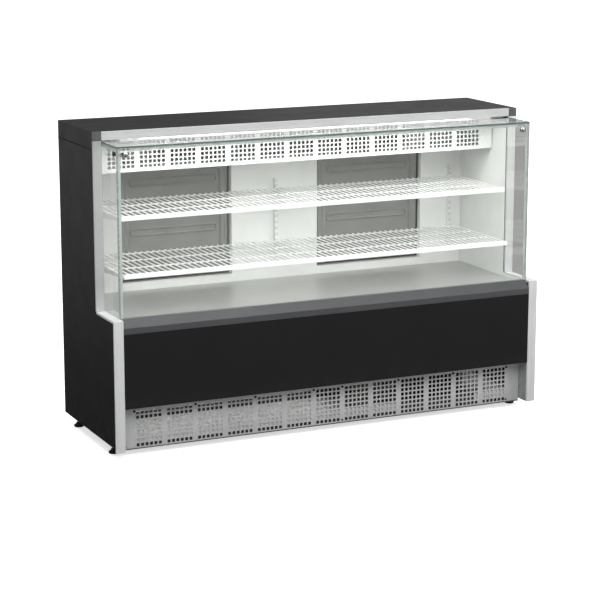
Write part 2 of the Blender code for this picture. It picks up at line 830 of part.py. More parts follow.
def side_glass(word, side):
    low_x, high_x = mirrored(GLASS_HALF_WIDTH - GLASS, GLASS_HALF_WIDTH, side)
    low = (low_x, GLASS_FRONT + GLASS + GAP, STEP_TOP + 2 * GAP)
    high = (high_x, GLASS_BACK, GLASS_TOP - GLASS - GAP)
    made = box(f"side_glass_{word}", low, high, "clear_glass")
    inner = (side * (GLASS_HALF_WIDTH - 2 * GLASS), CLAMP_Y, CLAMP_Z)
    outer = (side * (GLASS_HALF_WIDTH + GLASS), CLAMP_Y, CLAMP_Z)
    name = f"side_glass_hole_{word}"
    cut(made, helper_rods(name, [(inner, outer)], CLAMP_HOLE_RADIUS))


def top_glass():
    low = (-GLASS_HALF_WIDTH, GLASS_FRONT, GLASS_TOP - GLASS)
    high = (GLASS_HALF_WIDTH, GLASS_BACK, GLASS_TOP)
    box("top_glass", low, high, "clear_glass")


def glass_joint_angle():
    """The angle that joins the front glass to the top glass, on their inner faces."""
    front = GLASS_FRONT + GLASS + GAP
    top = GLASS_TOP - GLASS - GAP
    points = [
        (front, top - JOINT_LEG),
        (front + JOINT_WALL, top - JOINT_LEG),
        (front + JOINT_WALL, top - JOINT_WALL),
        (front + JOINT_LEG, top - JOINT_WALL),
        (front + JOINT_LEG, top),
        (front, top),
    ]
    half = JOINT_HALF_LENGTH
    outline("glass_joint_angle", points, -half, half, "satin_aluminium")


def glass_clamp(word, side):
    """A corner clamp: an inner bracket, with a pin and a disc through each pane."""
    inside_y = GLASS_FRONT + GLASS + 2 * GAP
    inside_x = GLASS_HALF_WIDTH - GLASS - 2 * GAP
    low_z = CLAMP_Z - CLAMP_BRACKET_HEIGHT / 2
    high_z = CLAMP_Z + CLAMP_BRACKET_HEIGHT / 2
    inner_x = CLAMP_X - CLAMP_DISC_RADIUS
    xs = mirrored(inner_x, inside_x, side)
    low = (xs[0], inside_y, low_z)
    high = (xs[1], inside_y + CLAMP_BRACKET_WALL, high_z)
    made = box(f"glass_clamp_{word}", low, high, "polished_chrome")
    leg_xs = mirrored(inside_x - CLAMP_BRACKET_WALL, inside_x, side)
    leg_low = (leg_xs[0], inside_y, low_z)
    leg_high = (leg_xs[1], CLAMP_Y + CLAMP_DISC_RADIUS, high_z)
    join(made, helper_boxes(f"clamp_leg_{word}", [(leg_low, leg_high)]))
    disc_back = GLASS_FRONT - 2 * GAP
    pin_x = side * CLAMP_X
    disc_x = GLASS_HALF_WIDTH + 2 * GAP
    pins = [
        (
            (pin_x, disc_back - DISC_THICKNESS / 2, CLAMP_Z),
            (pin_x, inside_y + OVERLAP, CLAMP_Z),
        ),
        (
            (side * (inside_x - OVERLAP), CLAMP_Y, CLAMP_Z),
            (side * (disc_x + DISC_THICKNESS / 2), CLAMP_Y, CLAMP_Z),
        ),
    ]
    join(made, helper_rods(f"clamp_pins_{word}", pins, CLAMP_PIN_RADIUS))
    discs = [
        ((pin_x, disc_back - DISC_THICKNESS, CLAMP_Z), (pin_x, disc_back, CLAMP_Z)),
        (
            (side * disc_x, CLAMP_Y, CLAMP_Z),
            (side * (disc_x + DISC_THICKNESS), CLAMP_Y, CLAMP_Z),
        ),
    ]
    join(made, helper_rods(f"clamp_discs_{word}", discs, CLAMP_DISC_RADIUS))


# Shelves


def shelf(word, front, bottom):
    """A flat front strip joined to a row of bars that run front to back."""
    wire_bottom = bottom + SHELF_WIRE_UNDER
    low = (-SHELF_HALF_WIDTH, front + SHELF_STRIP_WALL / 2, wire_bottom)
    high = (SHELF_HALF_WIDTH, SHELF_BACK, wire_bottom + SHELF_WIRE)
    made = box(f"shelf_{word}", low, high, "white_enamel")
    strip_low = (-SHELF_HALF_WIDTH, front, bottom)
    strip_high = (SHELF_HALF_WIDTH, front + SHELF_STRIP_WALL, bottom + SHELF_STRIP_HEIGHT)
    join(made, helper_boxes(f"shelf_strip_{word}", [(strip_low, strip_high)]))
    pitch = 2 * (SHELF_HALF_WIDTH - SHELF_WIRE) / SHELF_GAPS
    gaps = []
    for i in range(SHELF_GAPS):
        x = (i - (SHELF_GAPS - 1) / 2) * pitch
        gap_low = (x - SHELF_GAP_WIDTH / 2, front + SHELF_BORDER, bottom)
        gap_high = (x + SHELF_GAP_WIDTH / 2, SHELF_BACK - SHELF_WIRE, wire_bottom + OVERCUT)
        gaps.append((gap_low, gap_high))
    cut(made, helper_boxes(f"shelf_gaps_{word}", gaps))


def shelf_support(word, x):
    """An upright on the rear wall with one tapered arm under each shelf."""
    root = SUPPORT_FRONT + SUPPORT_INSET
    back = REAR_WALL_FRONT - GAP
    points = [(back, SUPPORT_BOTTOM), (back, SUPPORT_TOP), (root, SUPPORT_TOP)]
    for _, front, bottom in SHELVES:
        top = bottom + SHELF_WIRE_UNDER - GAP
        tip = front + SHELF_STRIP_WALL + ARM_TIP_SPACE
        points.append((root, top))
        points.append((tip, top))
        points.append((tip, top - ARM_TIP))
        points.append((root, top - ARM_ROOT))
    points.append((root, SUPPORT_BOTTOM))
    name = f"shelf_support_{word}"
    made = outline(name, points[::-1], x - ARM_WALL / 2, x + ARM_WALL / 2, "white_enamel")
    low = (x - SUPPORT_WIDTH / 2, SUPPORT_FRONT, SUPPORT_BOTTOM - SUPPORT_INSET)
    high = (x + SUPPORT_WIDTH / 2, back - GAP, SUPPORT_TOP + SUPPORT_INSET)
    join(made, helper_boxes(name + "_upright", [(low, high)]))


# Rear wall and doors


def rear_frame():
    low = (-INSIDE_X, REAR_WALL_FRONT, BASE_BOTTOM)
    high = (INSIDE_X, SIDE_DEPTH - GAP, ROOF_SEAM)
    made = box("rear_frame", low, high, "white_enamel")
    openings = []
    for _, side in SIDES:
        xs = mirrored(DOOR_OPENING_INNER, DOOR_OPENING_OUTER, side)
        opening_low = (xs[0], REAR_WALL_FRONT - OVERCUT, DOOR_OPENING_BOTTOM)
        opening_high = (xs[1], SIDE_DEPTH + OVERCUT, DOOR_OPENING_TOP)
        openings.append((opening_low, opening_high))
    cut(made, helper_boxes("door_openings", openings))


def rear_door(word, side):
    """A foamed door with a bar handle. Its origin is on the hinge axis."""
    axis = Vector((side * HINGE_X, HINGE_Y, (DOOR_BOTTOM + DOOR_TOP) / 2))
    xs = mirrored(DOOR_INNER, DOOR_OUTER, side)
    bm = bmesh.new()
    add_box(bm, (xs[0], DOOR_FRONT, DOOR_BOTTOM), (xs[1], DOOR_BACK, DOOR_TOP), axis)
    name = f"rear_door_{word}"
    made = place(name, mesh_of(bm, name), "black_enamel", axis)
    handle_xs = mirrored(HANDLE_X - HANDLE_HALF_WIDTH, HANDLE_X + HANDLE_HALF_WIDTH, side)
    bar_low = (handle_xs[0], HANDLE_BAR_FRONT, HANDLE_BOTTOM)
    bar_high = (handle_xs[1], TOTAL_DEPTH, HANDLE_TOP)
    join(made, helper_boxes(name + "_bar", [(bar_low, bar_high)]))
    posts = []
    inset = HANDLE_POST_INSET
    for low_z in (HANDLE_BOTTOM + inset, HANDLE_TOP - HANDLE_POST - inset):
        post_low = (handle_xs[0] + inset, DOOR_BACK - OVERLAP, low_z)
        post_high = (handle_xs[1] - inset, HANDLE_BAR_FRONT + OVERLAP, low_z + HANDLE_POST)
        posts.append((post_low, post_high))
    join(made, helper_boxes(name + "_posts", posts))
    depth = HINGE_PIN_LENGTH + HINGE_CLEARANCE
    x = side * HINGE_X
    sockets = [
        ((x, HINGE_Y, DOOR_TOP - depth), (x, HINGE_Y, DOOR_TOP + OVERCUT)),
        ((x, HINGE_Y, DOOR_BOTTOM - OVERCUT), (x, HINGE_Y, DOOR_BOTTOM + depth)),
    ]
    cut(made, helper_rods(name + "_sockets", sockets, HINGE_HOLE_RADIUS, 32))


def door_liner(word, side):
    """The moulded inner skin of a door, which stands a little way into the opening."""
    margin = DOOR_LINER_MARGIN
    xs = mirrored(DOOR_OPENING_INNER + margin, DOOR_OPENING_OUTER - margin, side)
    low = (xs[0], DOOR_LINER_FRONT, DOOR_OPENING_BOTTOM + margin)
    high = (xs[1], DOOR_FRONT - GAP, DOOR_OPENING_TOP - margin)
    made = box(f"door_liner_{word}", low, high, "door_liner")
    border = DOOR_LINER_BORDER
    recess_back = DOOR_LINER_FRONT + DOOR_LINER_RECESS
    tray_low = (xs[0] + border, DOOR_LINER_FRONT - OVERCUT, low[2] + border)
    tray_high = (xs[1] - border, recess_back, high[2] - border)
    cut(made, helper_boxes(f"door_liner_recess_{word}", [(tray_low, tray_high)]))


def door_gasket(word, side):
    """The magnetic seal round the door, a square ring."""
    front = GASKET_FRONT
    back = DOOR_FRONT - GAP
    outer = mirrored(DOOR_INNER + GASKET_MARGIN, GASKET_OUTER, side)
    bottom = DOOR_BOTTOM + GASKET_MARGIN
    top = DOOR_TOP - GASKET_MARGIN
    low = (outer[0], front, bottom)
    high = (outer[1], back, top)
    made = box(f"door_gasket_{word}", low, high, "black_rubber")
    width = GASKET_WIDTH
    hole_low = (outer[0] + width, front - OVERCUT, bottom + width)
    hole_high = (outer[1] - width, back + OVERCUT, top - width)
    cut(made, helper_boxes(f"gasket_hole_{word}", [(hole_low, hole_high)]))


def door_hinge(word, side):
    """A rail on the rear frame, with an arm and a pin above and below the door."""
    front = SIDE_DEPTH
    arm_wall = HINGE_ARM_WALL
    outer = HINGE_RAIL_X + HINGE_RAIL_WIDTH
    xs = mirrored(HINGE_RAIL_X, outer, side)
    top = DOOR_TOP + HINGE_CLEARANCE
    bottom = DOOR_BOTTOM - HINGE_CLEARANCE
    low = (xs[0], front, bottom - arm_wall)
    high = (xs[1], front + HINGE_RAIL_DEPTH, top + arm_wall)
    name = f"door_hinge_{word}"
    made = box(name, low, high, "zinc_steel")
    arm_xs = mirrored(HINGE_X - HINGE_ARM_REACH, outer - HINGE_CLEARANCE, side)
    arms = []
    for low_z in (top, bottom - arm_wall):
        arm_low = (arm_xs[0], front + HINGE_CLEARANCE, low_z)
        arm_high = (arm_xs[1], HINGE_Y + HINGE_ARM_REACH, low_z + arm_wall)
        arms.append((arm_low, arm_high))
    join(made, helper_boxes(name + "_arms", arms))
    x = side * HINGE_X
    pins = [
        ((x, HINGE_Y, DOOR_TOP - HINGE_PIN_LENGTH), (x, HINGE_Y, top + OVERLAP)),
        ((x, HINGE_Y, bottom - OVERLAP), (x, HINGE_Y, DOOR_BOTTOM + HINGE_PIN_LENGTH)),
    ]
    join(made, helper_rods(name + "_pins", pins, HINGE_PIN_RADIUS, 32))


# Machine compartment


def base_pan():
    bottom = SIDE_BOTTOM + GAP
    inner = bottom + PAN_WALL
    points = [
        (PAN_FRONT, bottom),
        (PAN_BACK, bottom),
        (PAN_BACK, PAN_FLANGE_TOP),
        (PAN_BACK - PAN_WALL, PAN_FLANGE_TOP),
        (PAN_BACK - PAN_WALL, inner),
        (PAN_FRONT + PAN_WALL, inner),
        (PAN_FRONT + PAN_WALL, PAN_FLANGE_TOP),
        (PAN_FRONT, PAN_FLANGE_TOP),
    ]
    made = outline("base_pan", points, -PAN_HALF_WIDTH, PAN_HALF_WIDTH, "zinc_steel")
    holes = []
    for _, side in SIDES:
        for _, y in FOOT_ROWS:
            x = side * FOOT_X
            holes.append(((x, y, bottom - OVERCUT), (x, y, inner + OVERCUT)))
    cut(made, helper_rods("foot_holes", holes, FOOT_HOLE_RADIUS))


def machine_back_panel():
    """The screwed rear cover, with louvres, the control plate and the inlet's cut-out."""
    back = BACK_PANEL_Y + SHEET
    low = (-BACK_PANEL_HALF_WIDTH, BACK_PANEL_Y, BACK_PANEL_BOTTOM)
    high = (BACK_PANEL_HALF_WIDTH, back, BACK_PANEL_TOP)
    made = box("machine_back_panel", low, high, "grille_steel")
    left, right, bottom, top = CONTROL_PLATE
    plate = ((left, BACK_PANEL_Y + GAP, bottom), (right, back + CONTROL_PLATE_WALL, top))
    join(made, helper_boxes("control_plate", [plate]))
    near = BACK_PANEL_Y - OVERCUT
    far = back + OVERCUT
    holes = []
    for centre_x in LOUVRE_BANKS:
        for row in range(LOUVRE_ROWS):
            z = LOUVRE_BOTTOM + row * LOUVRE_PITCH
            hole_low = (centre_x - LOUVRE_LENGTH / 2, near, z)
            hole_high = (centre_x + LOUVRE_LENGTH / 2, far, z + LOUVRE_HEIGHT)
            holes.append((hole_low, hole_high))
    switch_x = SWITCH_HALF_WIDTH + SWITCH_SIDE_CLEARANCE
    switch_z = SWITCH_HALF_HEIGHT + SWITCH_END_CLEARANCE
    holes.append(
        (
            (SWITCH_X - switch_x, near, CONTROL_Z - switch_z),
            (SWITCH_X + switch_x, far, CONTROL_Z + switch_z),
        )
    )
    inlet_x = INLET_HALF_WIDTH + 2 * GAP
    inlet_z = INLET_HALF_HEIGHT + 2 * GAP
    holes.append(
        ((INLET_X - inlet_x, near, INLET_Z - inlet_z), (INLET_X + inlet_x, far, INLET_Z + inlet_z))
    )
    cut(made, helper_boxes("back_panel_holes", holes))
    shaft = ((KNOB_X, near, CONTROL_Z), (KNOB_X, far, CONTROL_Z))
    hole_radius = KNOB_SHAFT_RADIUS + KNOB_SHAFT_CLEARANCE
    cut(made, helper_rods("knob_shaft_hole", [shaft], hole_radius, 16))


def compressor():
    """A welded steel dome on a foot plate."""
    foot = SIDE_BOTTOM + PAN_WALL + 3 * GAP
    radius = COMPRESSOR_RADIUS
    height = COMPRESSOR_HEIGHT
    profile = [(0, height)]
    for degrees in (20, 45, 70, 90):
        angle = math.radians(degrees)
        drop = COMPRESSOR_DOME * (1 - math.cos(angle))
        profile.append((radius * math.sin(angle), height - drop))
    flare = radius * COMPRESSOR_SEAM_FLARE
    for rise, seam_radius in (
        (COMPRESSOR_SEAM_LIP, radius),
        (COMPRESSOR_SEAM_WALL, flare),
        (-COMPRESSOR_SEAM_WALL, flare),
        (-COMPRESSOR_SEAM_LIP, radius),
    ):
        profile.append((seam_radius, COMPRESSOR_SEAM + rise))
    half_x, half_y, thickness = COMPRESSOR_FOOT
    profile.append((radius, COMPRESSOR_BASE_HEIGHT))
    profile.append((radius * 0.85, thickness * 0.8))
    profile.append((0, thickness * 0.4))
    location = (COMPRESSOR_X, COMPRESSOR_Y, foot)
    made = turned("compressor", profile, "machine_black", location)
    low = (COMPRESSOR_X - half_x, COMPRESSOR_Y - half_y, foot)
    high = (COMPRESSOR_X + half_x, COMPRESSOR_Y + half_y, foot + thickness)
    join(made, helper_boxes("compressor_foot", [(low, high)]))


def condenser():
    low = (CONDENSER_X - CONDENSER_HALF_WIDTH, CONDENSER_FRONT, CONDENSER_BOTTOM)
    high = (CONDENSER_X + CONDENSER_HALF_WIDTH, CONDENSER_BACK, CONDENSER_TOP)
    finned_block("condenser_coil", low, high, CONDENSER_FINS, "fin_aluminium")


def condenser_fan():
    centre = (CONDENSER_X, CONDENSER_FAN_Y, CONDENSER_FAN_Z)
    radius = CONDENSER_FAN_RADIUS
    height = CONDENSER_FAN_HUB_HEIGHT
    shaft = CONDENSER_FAN_SHAFT_RADIUS
    hub = CONDENSER_FAN_HUB_RADIUS
    fan("condenser_fan", centre, radius, hub, height, shaft, "fin_aluminium")
    plate = (CONDENSER_HALF_WIDTH, CONDENSER_TOP - CONDENSER_FAN_Z)
    fan_motor("condenser_fan_motor", centre, radius, height, plate, shaft)


def thermostat_knob():
    """A turned knob with its shaft. Its own Z is the joint's axis and points to the rear."""
    radius = KNOB_RADIUS
    profile = [
        (0, KNOB_HEIGHT),
        (radius * 0.80, KNOB_HEIGHT),
        (radius * 0.88, KNOB_HEIGHT - KNOB_EDGE),
        (radius, KNOB_EDGE),
        (radius, 0),
        (KNOB_SHAFT_RADIUS, 0),
        (KNOB_SHAFT_RADIUS, -KNOB_SHAFT_LENGTH),
        (0, -KNOB_SHAFT_LENGTH),
    ]
    y = BACK_PANEL_Y + SHEET + CONTROL_PLATE_WALL + 2 * GAP
    face = y + KNOB_HEIGHT
    made = turned("thermostat_knob", profile, "grey_plastic", (KNOB_X, y, CONTROL_Z), ALONG_Y)
    half = KNOB_POINTER_WIDTH / 2
    low = (KNOB_X - half, face - 2 * KNOB_POINTER_PROUD, CONTROL_Z + KNOB_POINTER_START)
    high = (KNOB_X + half, face + KNOB_POINTER_PROUD, CONTROL_Z + radius * 0.75)
    join(made, helper_boxes("knob_pointer", [(low, high)]))


def light_switch():
    """A rocker, tilted to off, with its origin on its pivot and its rear face dished."""
    pivot = (SWITCH_X, BACK_PANEL_Y + SHEET, CONTROL_Z)
    bm = bmesh.new()
    low = (-SWITCH_HALF_WIDTH, -SWITCH_DEEP, -SWITCH_HALF_HEIGHT)
    high = (SWITCH_HALF_WIDTH, SWITCH_PROUD, SWITCH_HALF_HEIGHT)
    add_box(bm, low, high)
    tilt = (SWITCH_REST_TILT, 0, 0)
    made = place("light_switch", mesh_of(bm, "light_switch"), "machine_black", pivot, tilt)
    wedge = bmesh.new()
    bmesh.ops.create_cone(
        wedge,
        cap_ends=True,
        segments=3,
        radius1=SWITCH_DISH_RADIUS,
        radius2=SWITCH_DISH_RADIUS,
        depth=3 * SWITCH_HALF_WIDTH,
        matrix=Matrix.Rotation(math.pi / 2, 4, "Y"),
    )
    bmesh.ops.scale(wedge, vec=(1, 1, SWITCH_DISH_STRETCH), verts=wedge.verts)
    centre = (0, SWITCH_PROUD + SWITCH_DISH_RAISE, 0)
    dish = helper("switch_dish", mesh_of(wedge, "switch_dish"), centre, (math.pi, 0, 0))
    dish.parent = made
    cut(made, dish)


def power_inlet():
    """A recessed inlet in a flange, with nothing plugged in."""
    back = BACK_PANEL_Y + SHEET
    low = (INLET_X - INLET_HALF_WIDTH, back - INLET_DEEP, INLET_Z - INLET_HALF_HEIGHT)
    high = (INLET_X + INLET_HALF_WIDTH, back + INLET_PROUD, INLET_Z + INLET_HALF_HEIGHT)
    made = box("power_inlet", low, high, "machine_black")
    flange = INLET_FLANGE
    flange_low = (low[0] - flange, back + GAP, low[2] - flange)
    flange_high = (high[0] + flange, high[1] - OVERLAP, high[2] + flange)
    join(made, helper_boxes("inlet_flange", [(flange_low, flange_high)]))
    recess_low = (low[0] + INLET_WALL, low[1] + INLET_FLOOR, low[2] + INLET_WALL)
    recess_high = (high[0] - INLET_WALL, high[1] + OVERCUT, high[2] - INLET_WALL)
    cut(made, helper_boxes("inlet_recess", [(recess_low, recess_high)]))


def levelling_foot(row, y, word, side):
    """A pad, a stem and a lock nut that meets the base pan when the foot is screwed in."""
    nut_top = SIDE_BOTTOM - GAP
    profile = [
        (0, FOOT_STEM_TOP),
        (FOOT_STEM_RADIUS, FOOT_STEM_TOP),
        (FOOT_STEM_RADIUS, nut_top),
        (FOOT_NUT_RADIUS, nut_top),
        (FOOT_NUT_RADIUS, nut_top - FOOT_NUT_HEIGHT),
        (FOOT_STEM_RADIUS, nut_top - FOOT_NUT_HEIGHT),
        (FOOT_STEM_RADIUS, FOOT_NECK_TOP),
        (FOOT_NECK_RADIUS, FOOT_NECK_TOP - 2 * OVERLAP),
        (FOOT_PAD_RADIUS, FOOT_PAD_HEIGHT),
        (FOOT_PAD_RADIUS, FOOT_PAD_BEVEL),
        (FOOT_PAD_RADIUS - FOOT_PAD_BEVEL, 0),
        (0, 0),
    ]
    turned(f"foot_{row}_{word}", profile, "machine_black", (side * FOOT_X, y, 0))


def build():
    for word, side in SIDES:
        side_panel(word, side)
        side_liner(word, side)
        lower_strip(word, side)
        upper_strip(word, side)
        strip_cap(word, side)
        side_glass(word, side)
        glass_clamp(word, side)
        rear_door(word, side)
        door_liner(word, side)
        door_gasket(word, side)
        door_hinge(word, side)
        for row, y in FOOT_ROWS:
            levelling_foot(row, y, word, side)
    roof_housing()
    roof_fascia()
    ceiling_panel()
    led_lamp()
    air_duct_panel()
    drip_tray()
    evaporator_coil()
    evaporator_fans()
    front_sill()
    front_panel()
    front_grille()
    display_floor()
    front_glass()
    top_glass()
    glass_joint_angle()
    for word, front, bottom in SHELVES:
        shelf(word, front, bottom)
    for word, x in (("left", -SUPPORT_X), ("centre", 0.0), ("right", SUPPORT_X)):
        shelf_support(word, x)
    rear_frame()
    base_pan()
    machine_back_panel()
    compressor()
    condenser()
    condenser_fan()
    thermostat_knob()
    light_switch()
    power_inlet()


clear_scene()
parts = new_collection("refrigerated_deli_case")
cutters = new_collection("cutters")
front_plane = bpy.data.objects.new("front_plane", None)
parts.objects.link(front_plane)
front_plane.location = (0, -TOTAL_DEPTH / 2, 0)
build()
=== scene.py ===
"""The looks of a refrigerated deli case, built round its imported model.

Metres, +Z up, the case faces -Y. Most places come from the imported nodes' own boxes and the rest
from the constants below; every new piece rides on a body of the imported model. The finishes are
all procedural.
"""

import math

import bmesh
import bpy
from mathutils import Matrix, Vector


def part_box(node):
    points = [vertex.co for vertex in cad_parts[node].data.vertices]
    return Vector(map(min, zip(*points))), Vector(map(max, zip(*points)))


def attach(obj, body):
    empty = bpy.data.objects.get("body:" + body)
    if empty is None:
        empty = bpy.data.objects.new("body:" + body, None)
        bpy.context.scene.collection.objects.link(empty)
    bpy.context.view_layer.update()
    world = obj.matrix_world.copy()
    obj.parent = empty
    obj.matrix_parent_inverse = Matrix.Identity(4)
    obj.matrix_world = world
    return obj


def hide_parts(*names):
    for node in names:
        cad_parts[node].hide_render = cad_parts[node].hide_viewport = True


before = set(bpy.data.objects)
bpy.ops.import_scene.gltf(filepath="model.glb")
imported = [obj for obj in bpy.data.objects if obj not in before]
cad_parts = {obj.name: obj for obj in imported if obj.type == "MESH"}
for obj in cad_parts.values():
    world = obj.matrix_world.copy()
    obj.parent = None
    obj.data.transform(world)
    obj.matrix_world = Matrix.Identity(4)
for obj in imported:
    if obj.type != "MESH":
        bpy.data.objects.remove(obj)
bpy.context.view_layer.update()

CABINET = "cabinet"
SIDES = (("left", -1), ("right", 1))
X_AXIS = Vector((1, 0, 0))
Y_AXIS = Vector((0, 1, 0))
Z_AXIS = Vector((0, 0, 1))

# Camera and studio
CAMERA_PLACE = (-3.3031, -7.1218, 2.1778)
CAMERA_YAW = 24.901
CAMERA_PITCH = 12.255
CAMERA_LENS = 121.018
FLOOR_SIZE = 80.0
FLOOR_BOUNCE = (0.42, 0.42, 0.42)
FLOOR_REFLECTED = (0.05, 0.60)
WORLD_DIFFUSE = 0.36
WORLD_GLOSSY = 0.20
BEHIND_GLASS = 0.36
# Lamps over the machine: name, place along X, length along X, watts
MACHINE_LIGHTS = (
    ("machine_fill_left", -0.40, 0.95, 0.95),
    ("machine_fill_right", 0.81, 0.08, 0.05),
)
MACHINE_LIGHT_HEIGHT = 0.44
MACHINE_LIGHT_BACK = 0.215
MACHINE_LIGHT_WIDTH = 0.42
MACHINE_LIGHT_SPREAD = 30

# Perforated sheets
HOLE_GROUPS = 13
COLUMNS_PER_GROUP = 6
GROUP_PITCH = 0.1242
COLUMN_PITCH = 0.0178
HOLE_WIDTH = 0.0125
HOLE_CORNER = 0.0014
DUCT_ROWS = 6
DUCT_ROW_PITCH = 0.0171
DUCT_ROWS_MIDDLE = 1.0972
GRILLE_ROWS = 8
GRILLE_ROW_PITCH = 0.0179
GRILLE_ROWS_MIDDLE = 0.1038
SHEET = 0.0014
GRILLE_TOP_SCREWS = (0.062, 0.309, 0.556, 0.803)
GRILLE_BOTTOM_SCREWS = (-0.840, 0.062, 0.803)

# Glass seals
SEAL_LEG = 0.009
JOINT_LEG = 0.0115

# Wire shelves
WIRE_PITCH = 0.025
WIRE_RADIUS = 0.0024
CROSS_WIRE_RADIUS = 0.0028

# Moulded door liners
LINER_BORDER = 0.034
LINER_RECESS = 0.007
RIB_ENDS = (0.252, 0.606)
RIB_HALF_HEIGHT = 0.0125
RIB_HEIGHTS = (0.6485, 0.747, 0.8455, 0.944)
RIB_RISE = 0.0042

# Rear doors
HANDLE_OUT = 0.200
HANDLE_FEET = (0.720, 0.860)
HANDLE_INSET = 0.0075
HINGE_SCREWS_OUT = 0.7132

# Cooling parts
COIL_FIN_PITCH = 0.0045
CONDENSER_FIN_PITCH = 0.0036
FIN_WALL = 0.0004
TUBE_RADIUS = 0.0045
EVAPORATOR_ENDS = 0.0305
SUCTION_END = 0.80
HOSE_RADIUS = 0.0046

# Machine compartment
# The black rail on the pan floor stands for shade seen through the grille: painted shade.
RAIL_BACK = 0.055
RAIL_WIDTH = 0.060
RAIL_HEIGHT = 0.014
CONTROL_PLATE_ENDS = (0.56, 0.74)

# Rear cover
LOUVRE_BANKS = (-0.35, 0.25)
LOUVRE_LENGTH = 0.36
LOUVRE_PITCH = 0.028
LOUVRE_ROWS = 7
LOUVRE_BOTTOM = 0.16
LOUVRE_HEIGHT = 0.010


# Materials ------------------------------------------------------------------------------


class Finish:
    """A Principled material under construction, with a few ways to vary it over the surface."""

    def __init__(self, name, colour, roughness, metallic=0.0, specular=0.5):
        self.material = bpy.data.materials.new(name)
        self.material.use_nodes = True
        self.tree = self.material.node_tree
        self.surface = self.tree.nodes["Principled BSDF"]
        self.colour = colour
        self.set("Base Color", (*colour, 1.0))
        self.set("Roughness", roughness)
        self.set("Metallic", metallic)
        self.set("Specular IOR Level", specular)
        self.height = None

    def set(self, socket, value):
        self.surface.inputs[socket].default_value = value

    def node(self, kind, **settings):
        made = self.tree.nodes.new(kind)
        for name, value in settings.items():
            setattr(made, name, value)
        return made

    def link(self, source, target):
        self.tree.links.new(source, target)

    def place(self, stretch=(1, 1, 1), shift=0.0):
        """Object coordinates, scaled by stretch."""
        coordinates = self.node("ShaderNodeTexCoord")
        mapping = self.node("ShaderNodeMapping")
        mapping.inputs["Scale"].default_value = stretch
        mapping.inputs["Location"].default_value = (shift, shift, shift)
        self.link(coordinates.outputs["Object"], mapping.inputs["Vector"])
        return mapping.outputs["Vector"]

    def noise(self, scale, detail=2.0, stretch=(1, 1, 1), shift=0.0):
        made = self.node("ShaderNodeTexNoise")
        made.inputs["Scale"].default_value = scale
        made.inputs["Detail"].default_value = detail
        self.link(self.place(stretch, shift), made.inputs["Vector"])
        return made.outputs["Fac"]

    def cells(self, scale):
        made = self.node("ShaderNodeTexVoronoi")
        made.inputs["Scale"].default_value = scale
        self.link(self.place(), made.inputs["Vector"])
        return made

    def spread(self, factor, low, high, start=0.3, end=0.7):
        """The factor between start and end, mapped to the range from low to high."""
        made = self.node("ShaderNodeMapRange")
        made.inputs["From Min"].default_value = start
        made.inputs["From Max"].default_value = end
        made.inputs["To Min"].default_value = low
        made.inputs["To Max"].default_value = high
        self.link(factor, made.inputs["Value"])
        return made.outputs["Result"]

    def product(self, first, second):
        made = self.node("ShaderNodeMath", operation="MULTIPLY")
        self.link(first, made.inputs[0])
        self.link(second, made.inputs[1])
        return made.outputs["Value"]

    def tint(self, factor, darker, lighter, start=0.3, end=0.7):
        """Multiplies the colour by a value between darker and lighter."""
        amount = self.spread(factor, darker, lighter, start, end)
        scaled = self.node("ShaderNodeVectorMath", operation="SCALE")
        socket = self.surface.inputs["Base Color"]
        if socket.is_linked:
            self.link(socket.links[0].from_socket, scaled.inputs[0])
        else:
            scaled.inputs[0].default_value = self.colour
        self.link(amount, scaled.inputs["Scale"])
        self.link(scaled.outputs["Vector"], socket)

    def blend(self, factor, colour):
        """Mixes another colour in by a factor."""
        made = self.node("ShaderNodeMix", data_type="RGBA")
        socket = self.surface.inputs["Base Color"]
        if socket.is_linked:
            self.link(socket.links[0].from_socket, made.inputs[6])
        else:
            made.inputs[6].default_value = (*self.colour, 1.0)
        made.inputs[7].default_value = (*colour, 1.0)
        self.link(factor, made.inputs[0])
        self.link(made.outputs[2], socket)

    def rough(self, factor, low, high, start=0.3, end=0.7):
        self.link(self.spread(factor, low, high, start, end), self.surface.inputs["Roughness"])

    def bump(self, factor, depth, strength=1.0):
        """Adds relief of a depth in metres, on top of any relief already there."""
        made = self.node("ShaderNodeBump")
        made.inputs["Strength"].default_value = strength
        made.inputs["Distance"].default_value = depth
        self.link(factor, made.inputs["Height"])
        if self.height:
            self.link(self.height, made.inputs["Normal"])
        self.height = made.outputs["Normal"]
        self.link(self.height, self.surface.inputs["Normal"])

    def low_down(self, bottom, top):
        """1 at the height bottom, falling to 0 at the height top."""
        split = self.node("ShaderNodeSeparateXYZ")
        self.link(self.place(), split.inputs["Vector"])
        return self.spread(split.outputs["Z"], 1.0, 0.0, bottom, top)


def black_enamel():
    """Baked powder coat: fine orange peel, faint cloudiness, a little dust low down."""
    made = Finish("black_enamel_finish", (0.0125, 0.0125, 0.0130), 0.42, specular=0.12)
    made.rough(made.noise(9, 4), 0.41, 0.47)
    made.tint(made.noise(3.0, 3, shift=4), 0.94, 1.06)
    speckle = made.noise(420, 2, shift=2)
    made.tint(speckle, 0.86, 1.16)
    dust = made.product(made.low_down(0.04, 0.26), made.spread(made.noise(38, 5), 0.0, 0.10))
    made.blend(dust, (0.16, 0.15, 0.14))
    made.bump(made.noise(620, 2), 0.00006, 0.5)
    return made.material


def white_enamel():
    """Bright white oven enamel with a slight peel and faint handling marks."""
    made = Finish("white_enamel_finish", (0.83, 0.84, 0.825), 0.36, specular=0.45)
    made.rough(made.noise(14, 4), 0.30, 0.46)
    made.tint(made.noise(5, 3), 0.97, 1.02)
    smear = made.noise(26, 5, (1, 1, 0.25), 7)
    made.tint(smear, 0.955, 1.0, 0.62, 0.42)
    made.bump(made.noise(520, 2), 0.00005, 0.4)
    return made.material


